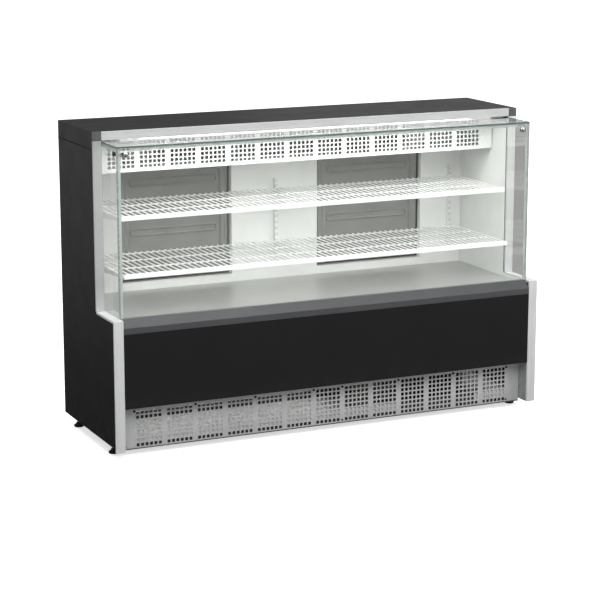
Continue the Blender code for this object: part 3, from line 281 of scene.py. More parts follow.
def shaded_wall_enamel():
    """A cooler, greyer copy of the white enamel for the inner walls and shelf supports: the grey is
    painted shade.
    """
    made = Finish("inner_wall_painted_shade", (0.76, 0.77, 0.755), 0.42, specular=0.4)
    made.rough(made.noise(14, 4), 0.36, 0.50)
    made.tint(made.noise(5, 3), 0.96, 1.03)
    made.tint(made.noise(26, 5, (1, 1, 0.25), 7), 0.975, 1.0, 0.62, 0.42)
    made.bump(made.noise(520, 2), 0.00005, 0.4)
    return made.material


def brushed(name, colour, roughness, stretch, metallic=1.0, specular=0.5):
    """Metal with a fine grain along one direction."""
    made = Finish(name, colour, roughness, metallic, specular)
    grain = made.noise(1.0, 3, stretch)
    broad = made.noise(1.0, 2, tuple(value * 0.16 for value in stretch), 3)
    made.rough(grain, roughness - 0.07, roughness + 0.09)
    made.tint(grain, 0.93, 1.06)
    made.tint(broad, 0.95, 1.04)
    made.tint(made.noise(6, 4, shift=9), 0.96, 1.03)
    made.bump(grain, 0.000035, 0.35)
    return made.material


def aluminium_upright():
    return brushed("aluminium_upright", (0.84, 0.845, 0.85), 0.48, (1500, 1500, 14), 0.55)


# A darker copy of the upright aluminium for the left upper strip: painted shade.
def aluminium_shaded():
    return brushed("aluminium_shaded", (0.46, 0.465, 0.465), 0.48, (1500, 1500, 14), 0.55)


def aluminium_level():
    return brushed("aluminium_level", (0.56, 0.565, 0.565), 0.48, (14, 1500, 1500), 0.55)


def sill_profile():
    """Blue-grey anodised profile with fine extrusion lines along its length."""
    made = Finish("sill_profile_finish", (0.068, 0.069, 0.074), 0.42, 0.25)
    lines = made.noise(1.0, 3, (4, 900, 900))
    made.rough(lines, 0.38, 0.50)
    made.tint(lines, 0.93, 1.07)
    made.tint(made.noise(7, 4, shift=5), 0.94, 1.06)
    made.bump(lines, 0.00003, 0.35)
    return made.material


def grille_steel():
    """Light grey coated sheet with a mottled, slightly stippled skin."""
    made = Finish("grille_steel_finish", (0.47, 0.475, 0.475), 0.50, 0.15)
    mottle = made.noise(150, 3)
    made.tint(mottle, 0.90, 1.08)
    made.tint(made.noise(4, 3, shift=3), 0.94, 1.05)
    made.rough(made.noise(60, 4), 0.42, 0.60)
    grime = made.product(made.low_down(0.02, 0.09), made.spread(made.noise(30, 5), 0.0, 0.35))
    made.blend(grime, (0.20, 0.19, 0.17))
    made.bump(made.noise(700, 2), 0.00008, 0.5)
    return made.material


def pan_steel():
    """Galvanised sheet that has gone dull, with its spangle and some dust."""
    made = Finish("pan_zinc_steel", (0.50, 0.505, 0.50), 0.55, 0.15)
    spangle = made.cells(70)
    value = made.node("ShaderNodeSeparateColor")
    made.link(spangle.outputs["Color"], value.inputs["Color"])
    made.tint(value.outputs[0], 0.90, 1.05, 0.0, 1.0)
    made.rough(value.outputs[1], 0.48, 0.64, 0.0, 1.0)
    made.blend(made.spread(made.noise(18, 5), 0.0, 0.35, 0.45, 0.75), (0.34, 0.33, 0.31))
    made.bump(made.noise(500, 2), 0.00003, 0.4)
    return made.material


def deck_steel():
    return brushed("deck_steel_finish", (0.50, 0.505, 0.495), 0.42, (10, 1100, 1100), 0.6)


def door_liner():
    """Thermoformed grey plastic with a soft, fine leather grain."""
    made = Finish("door_liner_finish", (0.232, 0.233, 0.222), 0.55, specular=0.35)
    made.tint(made.noise(12, 4), 0.94, 1.06)
    made.rough(made.noise(90, 3), 0.48, 0.64)
    made.bump(made.cells(420).outputs["Distance"], 0.00007, 0.5)
    return made.material


def moulded_plastic(name, colour, roughness):
    """Injection-moulded plastic with a spark-eroded texture."""
    made = Finish(name, colour, roughness, specular=0.4)
    made.tint(made.noise(30, 3), 0.93, 1.07)
    made.rough(made.noise(220, 2), roughness - 0.06, roughness + 0.08)
    made.bump(made.noise(1400, 1), 0.00004, 0.5)
    return made.material


def insulation():
    """Rigid foam: pale yellow, with the cells showing."""
    made = Finish("insulation_foam", (0.68, 0.62, 0.42), 0.9, specular=0.2)
    made.tint(made.noise(20, 4), 0.88, 1.06)
    made.bump(made.cells(700).outputs["Distance"], 0.0003, 0.7)
    return made.material


def through_glass(made, tint):
    """Lets lamps through the pane, as thin clear glass does."""
    clear = made.node("ShaderNodeBsdfTransparent")
    clear.inputs["Color"].default_value = (*tint, 1.0)
    rays = made.node("ShaderNodeLightPath")
    mix = made.node("ShaderNodeMixShader")
    made.link(rays.outputs["Is Shadow Ray"], mix.inputs[0])
    made.link(made.surface.outputs[0], mix.inputs[1])
    made.link(clear.outputs[0], mix.inputs[2])
    made.link(mix.outputs[0], made.tree.nodes["Material Output"].inputs["Surface"])
    return made.material


def clear_glass():
    """Float glass, faintly smeared from wiping."""
    made = Finish("clear_glass_pane", (0.982, 0.988, 0.980), 0.0)
    made.set("Transmission Weight", 1.0)
    made.set("IOR", 1.45)
    made.rough(made.noise(7, 5, (1, 1, 0.4)), 0.0, 0.006, 0.35, 0.75)
    return through_glass(made, (0.955, 0.965, 0.952))


def glass_edge():
    """The ground edge of a pane, where the green of the glass shows."""
    made = Finish("clear_glass_edge", (0.10, 0.145, 0.13), 0.32)
    made.set("Transmission Weight", 0.35)
    made.set("IOR", 1.45)
    made.tint(made.noise(60, 3), 0.88, 1.10)
    made.rough(made.noise(300, 2), 0.24, 0.42)
    made.bump(made.noise(900, 2), 0.00004, 0.5)
    return through_glass(made, (0.6, 0.7, 0.65))


def glass_corner():
    """The polished upright edge of a pane, backed by clear adhesive."""
    made = Finish("clear_glass_corner", (0.43, 0.465, 0.45), 0.24)
    made.set("Transmission Weight", 0.45)
    made.set("IOR", 1.45)
    made.tint(made.noise(60, 3), 0.90, 1.08)
    made.rough(made.noise(300, 2), 0.18, 0.34)
    made.bump(made.noise(900, 2), 0.00003, 0.4)
    return through_glass(made, (0.72, 0.76, 0.74))


def clear_seal():
    """Translucent silicone."""
    made = Finish("clear_seal_silicone", (0.52, 0.555, 0.54), 0.35)
    made.set("Transmission Weight", 0.55)
    made.set("IOR", 1.40)
    made.tint(made.noise(50, 3), 0.94, 1.04)
    made.rough(made.noise(120, 3), 0.28, 0.45)
    made.bump(made.noise(200, 2), 0.0001, 0.4)
    return through_glass(made, (0.77, 0.81, 0.79))


def polished_chrome():
    made = Finish("polished_chrome_finish", (0.62, 0.62, 0.63), 0.08, 1.0)
    made.rough(made.noise(160, 4), 0.05, 0.16)
    made.tint(made.noise(60, 3), 0.94, 1.03)
    return made.material


def black_rubber():
    made = Finish("black_rubber_finish", (0.022, 0.022, 0.023), 0.72, specular=0.35)
    made.tint(made.noise(40, 4), 0.82, 1.25)
    made.rough(made.noise(120, 3), 0.62, 0.85)
    made.bump(made.noise(900, 2), 0.00006, 0.6)
    return made.material


def grey_rubber():
    """The dark grey vinyl of a magnetic door seal."""
    made = Finish("grey_vinyl_seal", (0.24, 0.243, 0.235), 0.55, specular=0.4)
    made.tint(made.noise(30, 4), 0.9, 1.1)
    made.rough(made.noise(150, 3), 0.45, 0.65)
    made.bump(made.noise(700, 2), 0.00004, 0.5)
    return made.material


def lamp_diffuser():
    """Opal plastic, lit from inside by a row of diodes."""
    made = Finish("lamp_diffuser_opal", (0.92, 0.93, 0.90), 0.35)
    beads = made.noise(1.0, 1, (70, 0.1, 0.1))
    made.link(made.spread(beads, 0.5, 0.7), made.surface.inputs["Emission Strength"])
    made.set("Emission Color", (1.0, 0.985, 0.95, 1.0))
    made.rough(made.noise(300, 2), 0.28, 0.42)
    return made.material


def fin_aluminium():
    made = Finish("fin_aluminium_finish", (0.62, 0.63, 0.63), 0.42, 1.0)
    made.tint(made.noise(45, 4), 0.80, 1.08)
    made.rough(made.noise(180, 3), 0.34, 0.55)
    made.bump(made.noise(1.0, 2, (200, 200, 900)), 0.00006, 0.5)
    return made.material


def machine_black():
    """Black stoved paint on steel, satin, with a little dust on it."""
    made = Finish("machine_black_paint", (0.018, 0.018, 0.019), 0.46, specular=0.4)
    made.tint(made.noise(20, 4), 0.8, 1.3)
    made.rough(made.noise(60, 4), 0.38, 0.58)
    dust = made.spread(made.noise(14, 5, shift=2), 0.0, 0.16, 0.5, 0.8)
    made.blend(dust, (0.20, 0.19, 0.18))
    made.bump(made.noise(500, 2), 0.00006, 0.5)
    return made.material


def zinc_steel():
    """Galvanised steel with its spangle."""
    made = Finish("zinc_steel_finish", (0.56, 0.57, 0.575), 0.42, 0.85)
    spangle = made.cells(95)
    value = made.node("ShaderNodeSeparateColor")
    made.link(spangle.outputs["Color"], value.inputs["Color"])
    made.tint(value.outputs[0], 0.84, 1.06, 0.0, 1.0)
    made.rough(value.outputs[1], 0.34, 0.54, 0.0, 1.0)
    made.tint(made.noise(5, 4), 0.92, 1.05)
    made.bump(made.noise(500, 2), 0.00003, 0.4)
    return made.material


def copper():
    made = Finish("copper_tube", (0.66, 0.33, 0.19), 0.30, 1.0)
    made.tint(made.noise(35, 5), 0.62, 1.08)
    made.rough(made.noise(80, 4), 0.22, 0.48)
    made.bump(made.noise(400, 2), 0.00004, 0.3)
    return made.material


def white_floor():
    """The studio floor: white to the eye, dark near the case and lighter away in reflections."""
    made = Finish("studio_floor", (0.88, 0.88, 0.88), 0.9, specular=0.0)
    made.tint(made.noise(2.0, 3), 0.99, 1.01)
    made.set("Emission Color", (1.0, 1.0, 1.0, 1.0))
    distance = made.node("ShaderNodeVectorMath", operation="LENGTH")
    made.link(made.place(), distance.inputs[0])
    glow = made.spread(distance.outputs["Value"], 0.62, 1.0, 1.2, 5.0)
    made.link(glow, made.surface.inputs["Emission Strength"])
    bounce = made.node("ShaderNodeBsdfDiffuse")
    bounce.inputs["Color"].default_value = (*FLOOR_BOUNCE, 1.0)
    mirrored = made.node("ShaderNodeEmission")
    reflected = made.spread(distance.outputs["Value"], *FLOOR_REFLECTED, 0.8, 7.0)
    made.link(reflected, mirrored.inputs["Strength"])
    behind = made.node("ShaderNodeEmission")
    behind.inputs["Strength"].default_value = BEHIND_GLASS
    last = bounce.outputs[0]
    rays = made.node("ShaderNodeLightPath")
    for ray, shader in (
        ("Is Glossy Ray", mirrored.outputs[0]),
        ("Is Transmission Ray", behind.outputs[0]),
        ("Is Camera Ray", made.surface.outputs[0]),
    ):
        mix = made.node("ShaderNodeMixShader")
        made.link(rays.outputs[ray], mix.inputs[0])
        made.link(last, mix.inputs[1])
        made.link(shader, mix.inputs[2])
        last = mix.outputs[0]
    made.link(last, made.tree.nodes["Material Output"].inputs["Surface"])
    return made.material


# Mesh tools -----------------------------------------------------------------------------


def piece(name, bm, material, body=CABINET, stands_for=(), sharp=35):
    """A new piece in the frame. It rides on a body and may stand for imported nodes.

    Edges steeper than sharp degrees stay crisp. With sharp at 0, every face is flat.
    """
    bmesh.ops.recalc_face_normals(bm, faces=bm.faces)
    mesh = bpy.data.meshes.new(name)
    bm.to_mesh(mesh)
    bm.free()
    made = bpy.data.objects.new(name, mesh)
    bpy.context.scene.collection.objects.link(made)
    mesh.materials.append(material)
    if sharp:
        mesh.shade_smooth()
        mesh.set_sharp_from_angle(angle=math.radians(sharp))
        made.modifiers.new("normals", "WEIGHTED_NORMAL").keep_sharp = True
    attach(made, body)
    if stands_for:
        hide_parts(*stands_for)
    return made


def join_rings(bm, first, second):
    """Faces between two rings of vertices, or between a ring and a single point."""
    if len(first) == 1 and len(second) == 1:
        return
    count = max(len(first), len(second))
    for i in range(count):
        after = (i + 1) % count
        corners = [first[i % len(first)], first[after % len(first)]]
        corners += [second[after % len(second)], second[i % len(second)]]
        face = []
        for vert in corners:
            if vert not in face:
                face.append(vert)
        bm.faces.new(face)


def join_all(bm, rings, around=False):
    """Faces between neighbouring rings and, with around, from the last back to the first."""
    ahead = rings[1:] + rings[:1] if around else rings[1:]
    for first, second in zip(rings, ahead):
        join_rings(bm, first, second)


def add_grid(bm, rows):
    """Faces over a grid of vertices, given as rows."""
    for first, second in zip(rows, rows[1:]):
        for i in range(len(first) - 1):
            bm.faces.new((first[i], first[i + 1], second[i + 1], second[i]))


def add_box(bm, low, high, bevel=0.0, segments=2):
    low = Vector(low)
    high = Vector(high)
    matrix = Matrix.Translation((low + high) / 2) @ Matrix.Diagonal((*(high - low), 1))
    verts = bmesh.ops.create_cube(bm, size=1.0, matrix=matrix)["verts"]
    if not bevel:
        return
    edges = list({edge for vert in verts for edge in vert.link_edges})
    bmesh.ops.bevel(
        bm, geom=edges, offset=bevel, segments=segments, profile=0.5, affect="EDGES"
    )


def add_turned(bm, profile, centre, axis, steps=32):
    """A shape of revolution from (radius, height) points, its height running along axis."""
    turn = Vector(axis).to_track_quat("Z", "Y").to_matrix().to_4x4()
    place = Matrix.Translation(centre) @ turn
    rings = []
    for radius, height in profile:
        angles = [math.tau * i / steps for i in range(steps)] if radius else [0]
        points = [(radius * math.cos(a), radius * math.sin(a), height) for a in angles]
        rings.append([bm.verts.new(place @ Vector(point)) for point in points])
    join_all(bm, rings)
    for ring in (rings[0], rings[-1]):
        if len(ring) > 1:
            bm.faces.new(ring)


def add_tube(bm, points, radius, steps=10):
    """A round tube along a path of points, with flat ends."""
    points = [Vector(point) for point in points]
    rings = []
    across = None
    for i, point in enumerate(points):
        before = points[max(i - 1, 0)]
        after = points[min(i + 1, len(points) - 1)]
        along = (after - before).normalized()
        if across is None:
            across = along.orthogonal()
        across = (across - along * across.dot(along)).normalized()
        beside = along.cross(across)
        ring = []
        for k in range(steps):
            angle = math.tau * k / steps
            offset = across * math.cos(angle) + beside * math.sin(angle)
            ring.append(bm.verts.new(point + offset * radius))
        rings.append(ring)
    join_all(bm, rings)
    bm.faces.new(rings[0])
    bm.faces.new(rings[-1])


def rounded_path(corners, radius, steps=6):
    """The path through the corners, with an arc at every bend."""
    corners = [Vector(corner) for corner in corners]
    path = [corners[0]]
    for before, corner, after in zip(corners, corners[1:], corners[2:]):
        back = (before - corner).normalized()
        ahead = (after - corner).normalized()
        half = back.angle(ahead) / 2
        centre = corner + (back + ahead).normalized() * radius / math.sin(half)
        first = corner + back * radius / math.tan(half) - centre
        last = corner + ahead * radius / math.tan(half) - centre
        first.normalize()
        last.normalize()
        path += [centre + first.slerp(last, i / steps) * radius for i in range(steps + 1)]
    path.append(corners[-1])
    return path


def add_prism(bm, points, low_x, high_x):
    """A profile of (y, z) points, extruded along X."""
    rings = []
    for x in (low_x, high_x):
        rings.append([bm.verts.new((x, y, z)) for y, z in points])
    join_rings(bm, *rings)
    for ring in rings:
        bm.faces.new(ring)


def add_rim(bm, low, high, profile):
    """A mitred rectangular ring in an XZ plane. The profile is (inset, y) points, closed."""
    rings = []
    for inset, y in profile:
        corners = (
            (low[0] + inset, low[1] + inset),
            (high[0] - inset, low[1] + inset),
            (high[0] - inset, high[1] - inset),
            (low[0] + inset, high[1] - inset),
        )
        rings.append([bm.verts.new((x, y, z)) for x, z in corners])
    join_all(bm, rings, around=True)


def arc(centre, radius, start, end, steps):
    """Points of an arc in a plane, between two angles in degrees."""
    points = []
    for i in range(steps + 1):
        angle = math.radians(start + (end - start) * i / steps)
        points.append((centre[0] + radius * math.cos(angle), centre[1] + radius * math.sin(angle)))
    return points


def cross_outline(reach, half):
    """The twelve corners of a plus sign."""
    quarter = [(reach, -half), (reach, half), (half, half)]
    points = []
    for turn in range(4):
        cosine = round(math.cos(turn * math.pi / 2))
        sine = round(math.sin(turn * math.pi / 2))
        points += [(x * cosine - y * sine, x * sine + y * cosine) for x, y in quarter]
    return points


def add_screw(bm, place, axis, radius, turn_by=0.3):
    """A pan-head screw with a cross recess, its head standing out along axis."""
    turn = Vector(axis).to_track_quat("Z", "Y").to_matrix().to_4x4()
    matrix = Matrix.Translation(place) @ turn @ Matrix.Rotation(turn_by, 4, "Z")
    profile = ((1.0, -0.1), (1.0, 0.18), (0.90, 0.38), (0.62, 0.52))
    steps = 24
    rings = []
    for share, height in profile:
        ring = []
        for i in range(steps):
            angle = math.tau * i / steps
            point = (share * math.cos(angle), share * math.sin(angle), height)
            ring.append(bm.verts.new(matrix @ (Vector(point) * radius)))
        rings.append(ring)
    join_all(bm, rings)
    outline = cross_outline(0.50, 0.12)
    rim = [bm.verts.new(matrix @ (Vector((x, y, 0.56)) * radius)) for x, y in outline]
    floor = [bm.verts.new(matrix @ (Vector((x, y, 0.2)) * radius)) for x, y in outline]
    join_rings(bm, rim, floor)
    bm.faces.new(floor)
    bm.faces.new(rings[0])
    edges = []
    for ring in (rings[-1], rim):
        for first, second in zip(ring, ring[1:] + ring[:1]):
            edges.append(bm.edges.get((first, second)))
    bmesh.ops.triangle_fill(bm, use_beauty=True, edges=edges)


def hole_spans(low, high, groups, holes, group_pitch, pitch, middle=0.0):
    """Spans (start, end, has_hole) that fill a sheet from low to high."""
    spans = []
    reached = low
    for group in range(groups):
        centre = middle + (group - (groups - 1) / 2) * group_pitch
        start = centre - holes * pitch / 2
        spans.append((reached, start, False))
        for hole in range(holes):
            spans.append((start + hole * pitch, start + (hole + 1) * pitch, True))
        reached = start + holes * pitch
    spans.append((reached, high, False))
    return spans


def add_perforated(bm, y, x_spans, z_spans):
    """A flat sheet facing -Y, with a round-cornered square hole wherever two hole spans cross."""
    nodes = {}

    def node(x, z):
        key = (round(x, 6), round(z, 6))
        if key not in nodes:
            nodes[key] = bm.verts.new((x, y, z))
        return nodes[key]

    half = HOLE_WIDTH / 2
    for left, right, x_hole in x_spans:
        for bottom, top, z_hole in z_spans:
            outer = [node(left, bottom), node(right, bottom), node(right, top), node(left, top)]
            if not (x_hole and z_hole):
                bm.faces.new(outer)
                continue
            centre_x = (left + right) / 2
            centre_z = (bottom + top) / 2
            inner = []
            for x_side, z_side in ((-1, -1), (1, -1), (1, 1), (-1, 1)):
                flat = (x_side * (half - HOLE_CORNER), z_side * half)
                steep = (x_side * half, z_side * (half - HOLE_CORNER))
                pair = (steep, flat) if x_side * z_side > 0 else (flat, steep)
                pair = [bm.verts.new((centre_x + x, y, centre_z + z)) for x, z in pair]
                inner.append(pair)
            for i in range(4):
                after = (i + 1) % 4
                bm.faces.new((outer[i], outer[after], inner[after][0], inner[i][1]))
                bm.faces.new((outer[i], inner[i][1], inner[i][0]))


def thicken(made, thickness, offset):
    sheet = made.modifiers.new("sheet", "SOLIDIFY")
    sheet.thickness = thickness
    sheet.offset = offset


def box_piece(name, low, high, bevel, material, body=CABINET, stands_for=(), segments=2):
    """A piece that is one box with rounded edges."""
    bm = bmesh.new()
    add_box(bm, low, high, bevel, segments)
    piece(name, bm, material, body, stands_for)


def dress(node, material, bevel=0.0, segments=2, angle=40):
    """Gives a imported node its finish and, where bevel is set, rounded edges."""
    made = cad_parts[node]
    made.data.materials.clear()
    made.data.materials.append(material)
    if not bevel:
        return
    weld = made.modifiers.new("weld", "WELD")
    weld.merge_threshold = 0.00001
    rounding = made.modifiers.new("rounded_edges", "BEVEL")
    rounding.width = bevel
    rounding.segments = segments
    rounding.limit_method = "ANGLE"
    rounding.angle_limit = math.radians(angle)
    rounding.use_clamp_overlap = False
    smooth = made.modifiers.new("normals", "WEIGHTED_NORMAL")
    smooth.keep_sharp = False


# Cabinet shell --------------------------------------------------------------------------


def cabinet_shell():
    for word, _ in SIDES:
        dress(f"side_panel_{word}", BLACK, 0.0016)
        # The inner walls take the greyer copy of the white enamel: painted shade.
        dress(f"side_liner_{word}", SHADED_WALL, 0.0012)
        dress(f"lower_strip_{word}", ALUMINIUM_UPRIGHT, 0.0010)
        # The left upper strip takes the darker copy of the aluminium: painted shade.
        upper_tone = ALUMINIUM_SHADED if word == "left" else ALUMINIUM_UPRIGHT
        dress(f"upper_strip_{word}", upper_tone, 0.0012)
        dress(f"strip_cap_{word}", CAP_PLASTIC, 0.0014, 3)
    dress("roof_housing", BLACK, 0.0012)
    dress("roof_fascia", ALUMINIUM_LEVEL, 0.0010)
    dress("ceiling_panel", WHITE, 0.0010)
    dress("rear_frame", SHADED_WALL, 0.0015)
    dress("drip_tray", WHITE)
    dress("front_sill", SILL, 0.0008)
    dress("front_panel", BLACK, 0.0008)
    dress("insulated_base", FOAM)
    dress("display_deck", DECK, 0.0004)
    dress("base_pan", PAN)


def inner_edge_seals():
    """Dark seals down the front edge of each inner wall, where the glass box begins."""
    for word, side in SIDES:
        liner_low, liner_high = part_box(f"side_liner_{word}")
        strip_low, strip_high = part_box(f"upper_strip_{word}")
        inner = liner_high.x if side < 0 else liner_low.x
        y = strip_high.y
        reach = -side * 0.0012
        low = (min(inner, inner + reach), y - 0.0015, strip_low.z + 0.002)
        high = (max(inner, inner + reach), y + 0.0045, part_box("ceiling_panel")[0].z)
        box_piece(f"inner_wall_seal_{word}", low, high, 0.0004, RUBBER)


def pan_apron():
    """The folded edge below the base pan, behind the lowest holes of the grille, coloured machine
    black for the shade there: painted shade.
    """
    grille_low, grille_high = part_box("front_grille")
    reach = grille_high.x - 0.006
    front = grille_high.y + 0.0015
    low = (-reach, front, grille_low.z + 0.002)
    high = (reach, front + SHEET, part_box("base_pan")[0].z - 0.0003)
    box_piece("base_pan_apron_shade", low, high, 0.0004, MACHINE_BLACK)


def machine_cover_seal():
    """The rubber strip between the rear lip of the base pan and the machine cover."""
    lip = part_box("base_pan")[1]
    reach = lip.x - 0.002
    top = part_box("machine_back_panel")[0].z - 0.0002
    low = (-reach, lip.y - 0.004, lip.z + 0.0002)
    high = (reach, lip.y + 0.0003, top)
    box_piece("machine_cover_seal", low, high, 0.0003, RUBBER)


def shade_rail():
    """A black channel across the base pan beside the cooling machine, put where the second row of
    grille holes shows shade: painted shade.
    """
    low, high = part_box("base_pan")
    floor = low.z + 0.0022
    left = low.x + 0.05
    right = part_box("condenser_coil")[0].x - 0.06
    middle = (low.y + high.y) / 2 + RAIL_BACK
    bm = bmesh.new()
    wall = 0.002
    near = middle - RAIL_WIDTH / 2
    far = middle + RAIL_WIDTH / 2
    top = floor + RAIL_HEIGHT
    add_box(bm, (left, near, top - wall), (right, far, top), 0.0005)
    add_box(bm, (left, near, floor), (right, near + wall, top), 0.0005)
    add_box(bm, (left, far - wall, floor), (right, far, top), 0.0005)
    piece("shade_rail", bm, MACHINE_BLACK)


def machine_side_plates():
    """Galvanised cheeks beside the grille, between the front strips and the grille's ends."""
    for word, side in SIDES:
        strip_low, strip_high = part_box(f"lower_strip_{word}")
        grille_low, grille_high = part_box("front_grille")
        inner = abs(strip_high.x if side < 0 else strip_low.x)
        xs = sorted((side * (inner + 0.0002), side * (inner + 0.0014)))
        front = strip_low.y + 0.0085
        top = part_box("insulated_base")[0].z - 0.002
        back = grille_high.y + 0.001
        bm = bmesh.new()
        add_box(bm, (xs[0], front, grille_low.z + 0.014), (xs[1], back, top), 0.0003)
        foot = sorted((side * (inner + 0.0002), side * (inner + 0.0130)))
        foot_high = (foot[1], back, grille_low.z + 0.0128)
        add_box(bm, (foot[0], front, grille_low.z + 0.0116), foot_high, 0.0003)
        piece(f"machine_side_plate_{word}", bm, ZINC)


def roof_gap_shadows():
    """Matte black strips along the joint between the roof cover and the top of each side, standing
    for the shadow in the gap: painted shadow.
    """
    roof_low, roof_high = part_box("roof_housing")
    for word, side in SIDES:
        xs = sorted((side * (roof_high.x - 0.0015), side * (roof_high.x + 0.0003)))
        low = (xs[0], roof_low.y, roof_low.z - 0.0024)
        high = (xs[1], roof_high.y, roof_low.z + 0.0018)
        box_piece(f"roof_seam_{word}", low, high, 0.0002, GAP_SHADOW)


def roof_screws():
    """Screws that hold the roof cover along its rear skirt."""
    low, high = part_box("roof_housing")
    bm = bmesh.new()
    middle = (low.z + high.z) / 2
    count = 7
    for i in range(count):
        x = low.x + 0.05 + (high.x - low.x - 0.10) * i / (count - 1)
        add_screw(bm, (x, high.y, middle), Y_AXIS, 0.0045, i)
    piece("roof_screws", bm, ZINC)


# Perforated sheets ----------------------------------------------------------------------


def perforated_sheet(name, node, rows, row_pitch, rows_middle, material):
    """A packed sheet with its groups of square holes cut. Gives the sheet's low and high."""
    low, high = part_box(node)
    xs = hole_spans(low.x, high.x, HOLE_GROUPS, COLUMNS_PER_GROUP, GROUP_PITCH, COLUMN_PITCH)
    zs = hole_spans(low.z, high.z, 1, rows, 0.0, row_pitch, rows_middle)
    bm = bmesh.new()
    add_perforated(bm, low.y, xs, zs)
    made = piece(name, bm, material, stands_for=(node,), sharp=0)
    thicken(made, SHEET, -1.0)
    return low, high


def air_duct_panel():
    low, high = perforated_sheet(
        "air_duct_sheet", "air_duct_panel", DUCT_ROWS, DUCT_ROW_PITCH, DUCT_ROWS_MIDDLE,
        WHITE,
    )
    bm = bmesh.new()
    for i in range(5):
        x = (i - 2) * (high.x - 0.014) / 2
        add_screw(bm, (x, low.y, low.z + 0.009), -Y_AXIS, 0.0032, i)
    piece("air_duct_screws", bm, WHITE)


def front_grille():
    low, high = perforated_sheet(
        "front_grille_sheet", "front_grille", GRILLE_ROWS, GRILLE_ROW_PITCH,
        GRILLE_ROWS_MIDDLE, GRILLE,
    )
    fold = (high.x, low.y + 0.016, low.z + SHEET)
    box_piece("front_grille_fold", low, fold, 0.0004, GRILLE)
    # A dark strip along the grille's bottom edge: painted shadow of the fold.
    shadow_low = (low.x, low.y - 0.0010, low.z - 0.0002)
    shadow_high = (high.x, low.y, low.z + 0.0042)
    box_piece("front_grille_fold_shadow", shadow_low, shadow_high, 0.0004, FOLD_SHADOW)
    bm = bmesh.new()
    top_z = GRILLE_ROWS_MIDDLE + (GRILLE_ROWS / 2 - 0.15) * GRILLE_ROW_PITCH
    for x in GRILLE_TOP_SCREWS:
        for side in (-1, 1):
            add_screw(bm, (side * x, low.y, top_z), -Y_AXIS, 0.0048, 9 * x)
    for x in GRILLE_BOTTOM_SCREWS:
        add_screw(bm, (x, low.y, low.z + 0.013), -Y_AXIS, 0.0040, 7 * x)
    piece("front_grille_screws", bm, MACHINE_BLACK)


# Cooling unit ---------------------------------------------------------------------------


def add_fins(bm, low, high, pitch, wall=FIN_WALL):
    """Thin plates across X."""
    count = round((high[0] - low[0]) / pitch)
    for i in range(count + 1):
        x = low[0] + (high[0] - low[0]) * i / count
        add_box(bm, (x - wall / 2, low[1], low[2]), (x + wall / 2, high[1], high[2]))


def add_end_plate(bm, x, low, high, side, wall=0.0016, flange=0.008):
    """A tube sheet with folded edges at the end of a coil."""
    xs = sorted((x, x + side * wall))
    add_box(bm, (xs[0], low[1], low[2]), (xs[1], high[1], high[2]), 0.0003)
    folds = sorted((x, x - side * flange))
    for z in (low[2], high[2] - wall):
        add_box(bm, (folds[0], low[1], z), (folds[1], high[1], z + wall), 0.0003)


def coil_pipes(name, low, high, rows, columns):
    """Straight tubes through the fins, with return bends at both ends."""
    bm = bmesh.new()
    step_y = (high[1] - low[1]) / columns
    step_z = (high[2] - low[2]) / rows
    reach = 0.014
    places = []
    for row in range(rows):
        order = range(columns) if row % 2 == 0 else range(columns - 1, -1, -1)
        for column in order:
            y = low[1] + (column + 0.5) * step_y
            z = low[2] + (row + 0.5) * step_z
            places.append(Vector((0, y, z)))
    for place in places:
        start = place + X_AXIS * (low[0] - reach / 2)
        end = place + X_AXIS * (high[0] + reach / 2)
        add_tube(bm, (start, end), TUBE_RADIUS)
    for i, (first, second) in enumerate(zip(places, places[1:])):
        side = 1 if i % 2 == 0 else -1
        x = high[0] if side > 0 else low[0]
        near = x + side * reach / 2
        far = x + side * (reach + 0.008)
        corners = [
            first + X_AXIS * near,
            first + X_AXIS * far,
            second + X_AXIS * far,
            second + X_AXIS * near,
        ]
        add_tube(bm, rounded_path(corners, (first - second).length * 0.45), TUBE_RADIUS)
    piece(name, bm, COPPER)


def finned_coil(name, node, low, high, pitch, material, rows, columns):
    """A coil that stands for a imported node: fins between two end plates, with its tubes."""
    bm = bmesh.new()
    add_fins(bm, low, high, pitch)
    add_end_plate(bm, low.x, low, high, -1)
    add_end_plate(bm, high.x, low, high, 1)
    piece(f"{name}_fins", bm, material, stands_for=(node,))
    coil_pipes(f"{name}_pipes", low, high, rows, columns)


def evaporator():
    node = "evaporator_coil"
    low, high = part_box(node)
    low = Vector((-high.x + EVAPORATOR_ENDS, low.y, low.z))
    high = Vector((high.x - EVAPORATOR_ENDS, high.y, high.z))
    finned_coil("evaporator", node, low, high, COIL_FIN_PITCH, FINS, 3, 3)


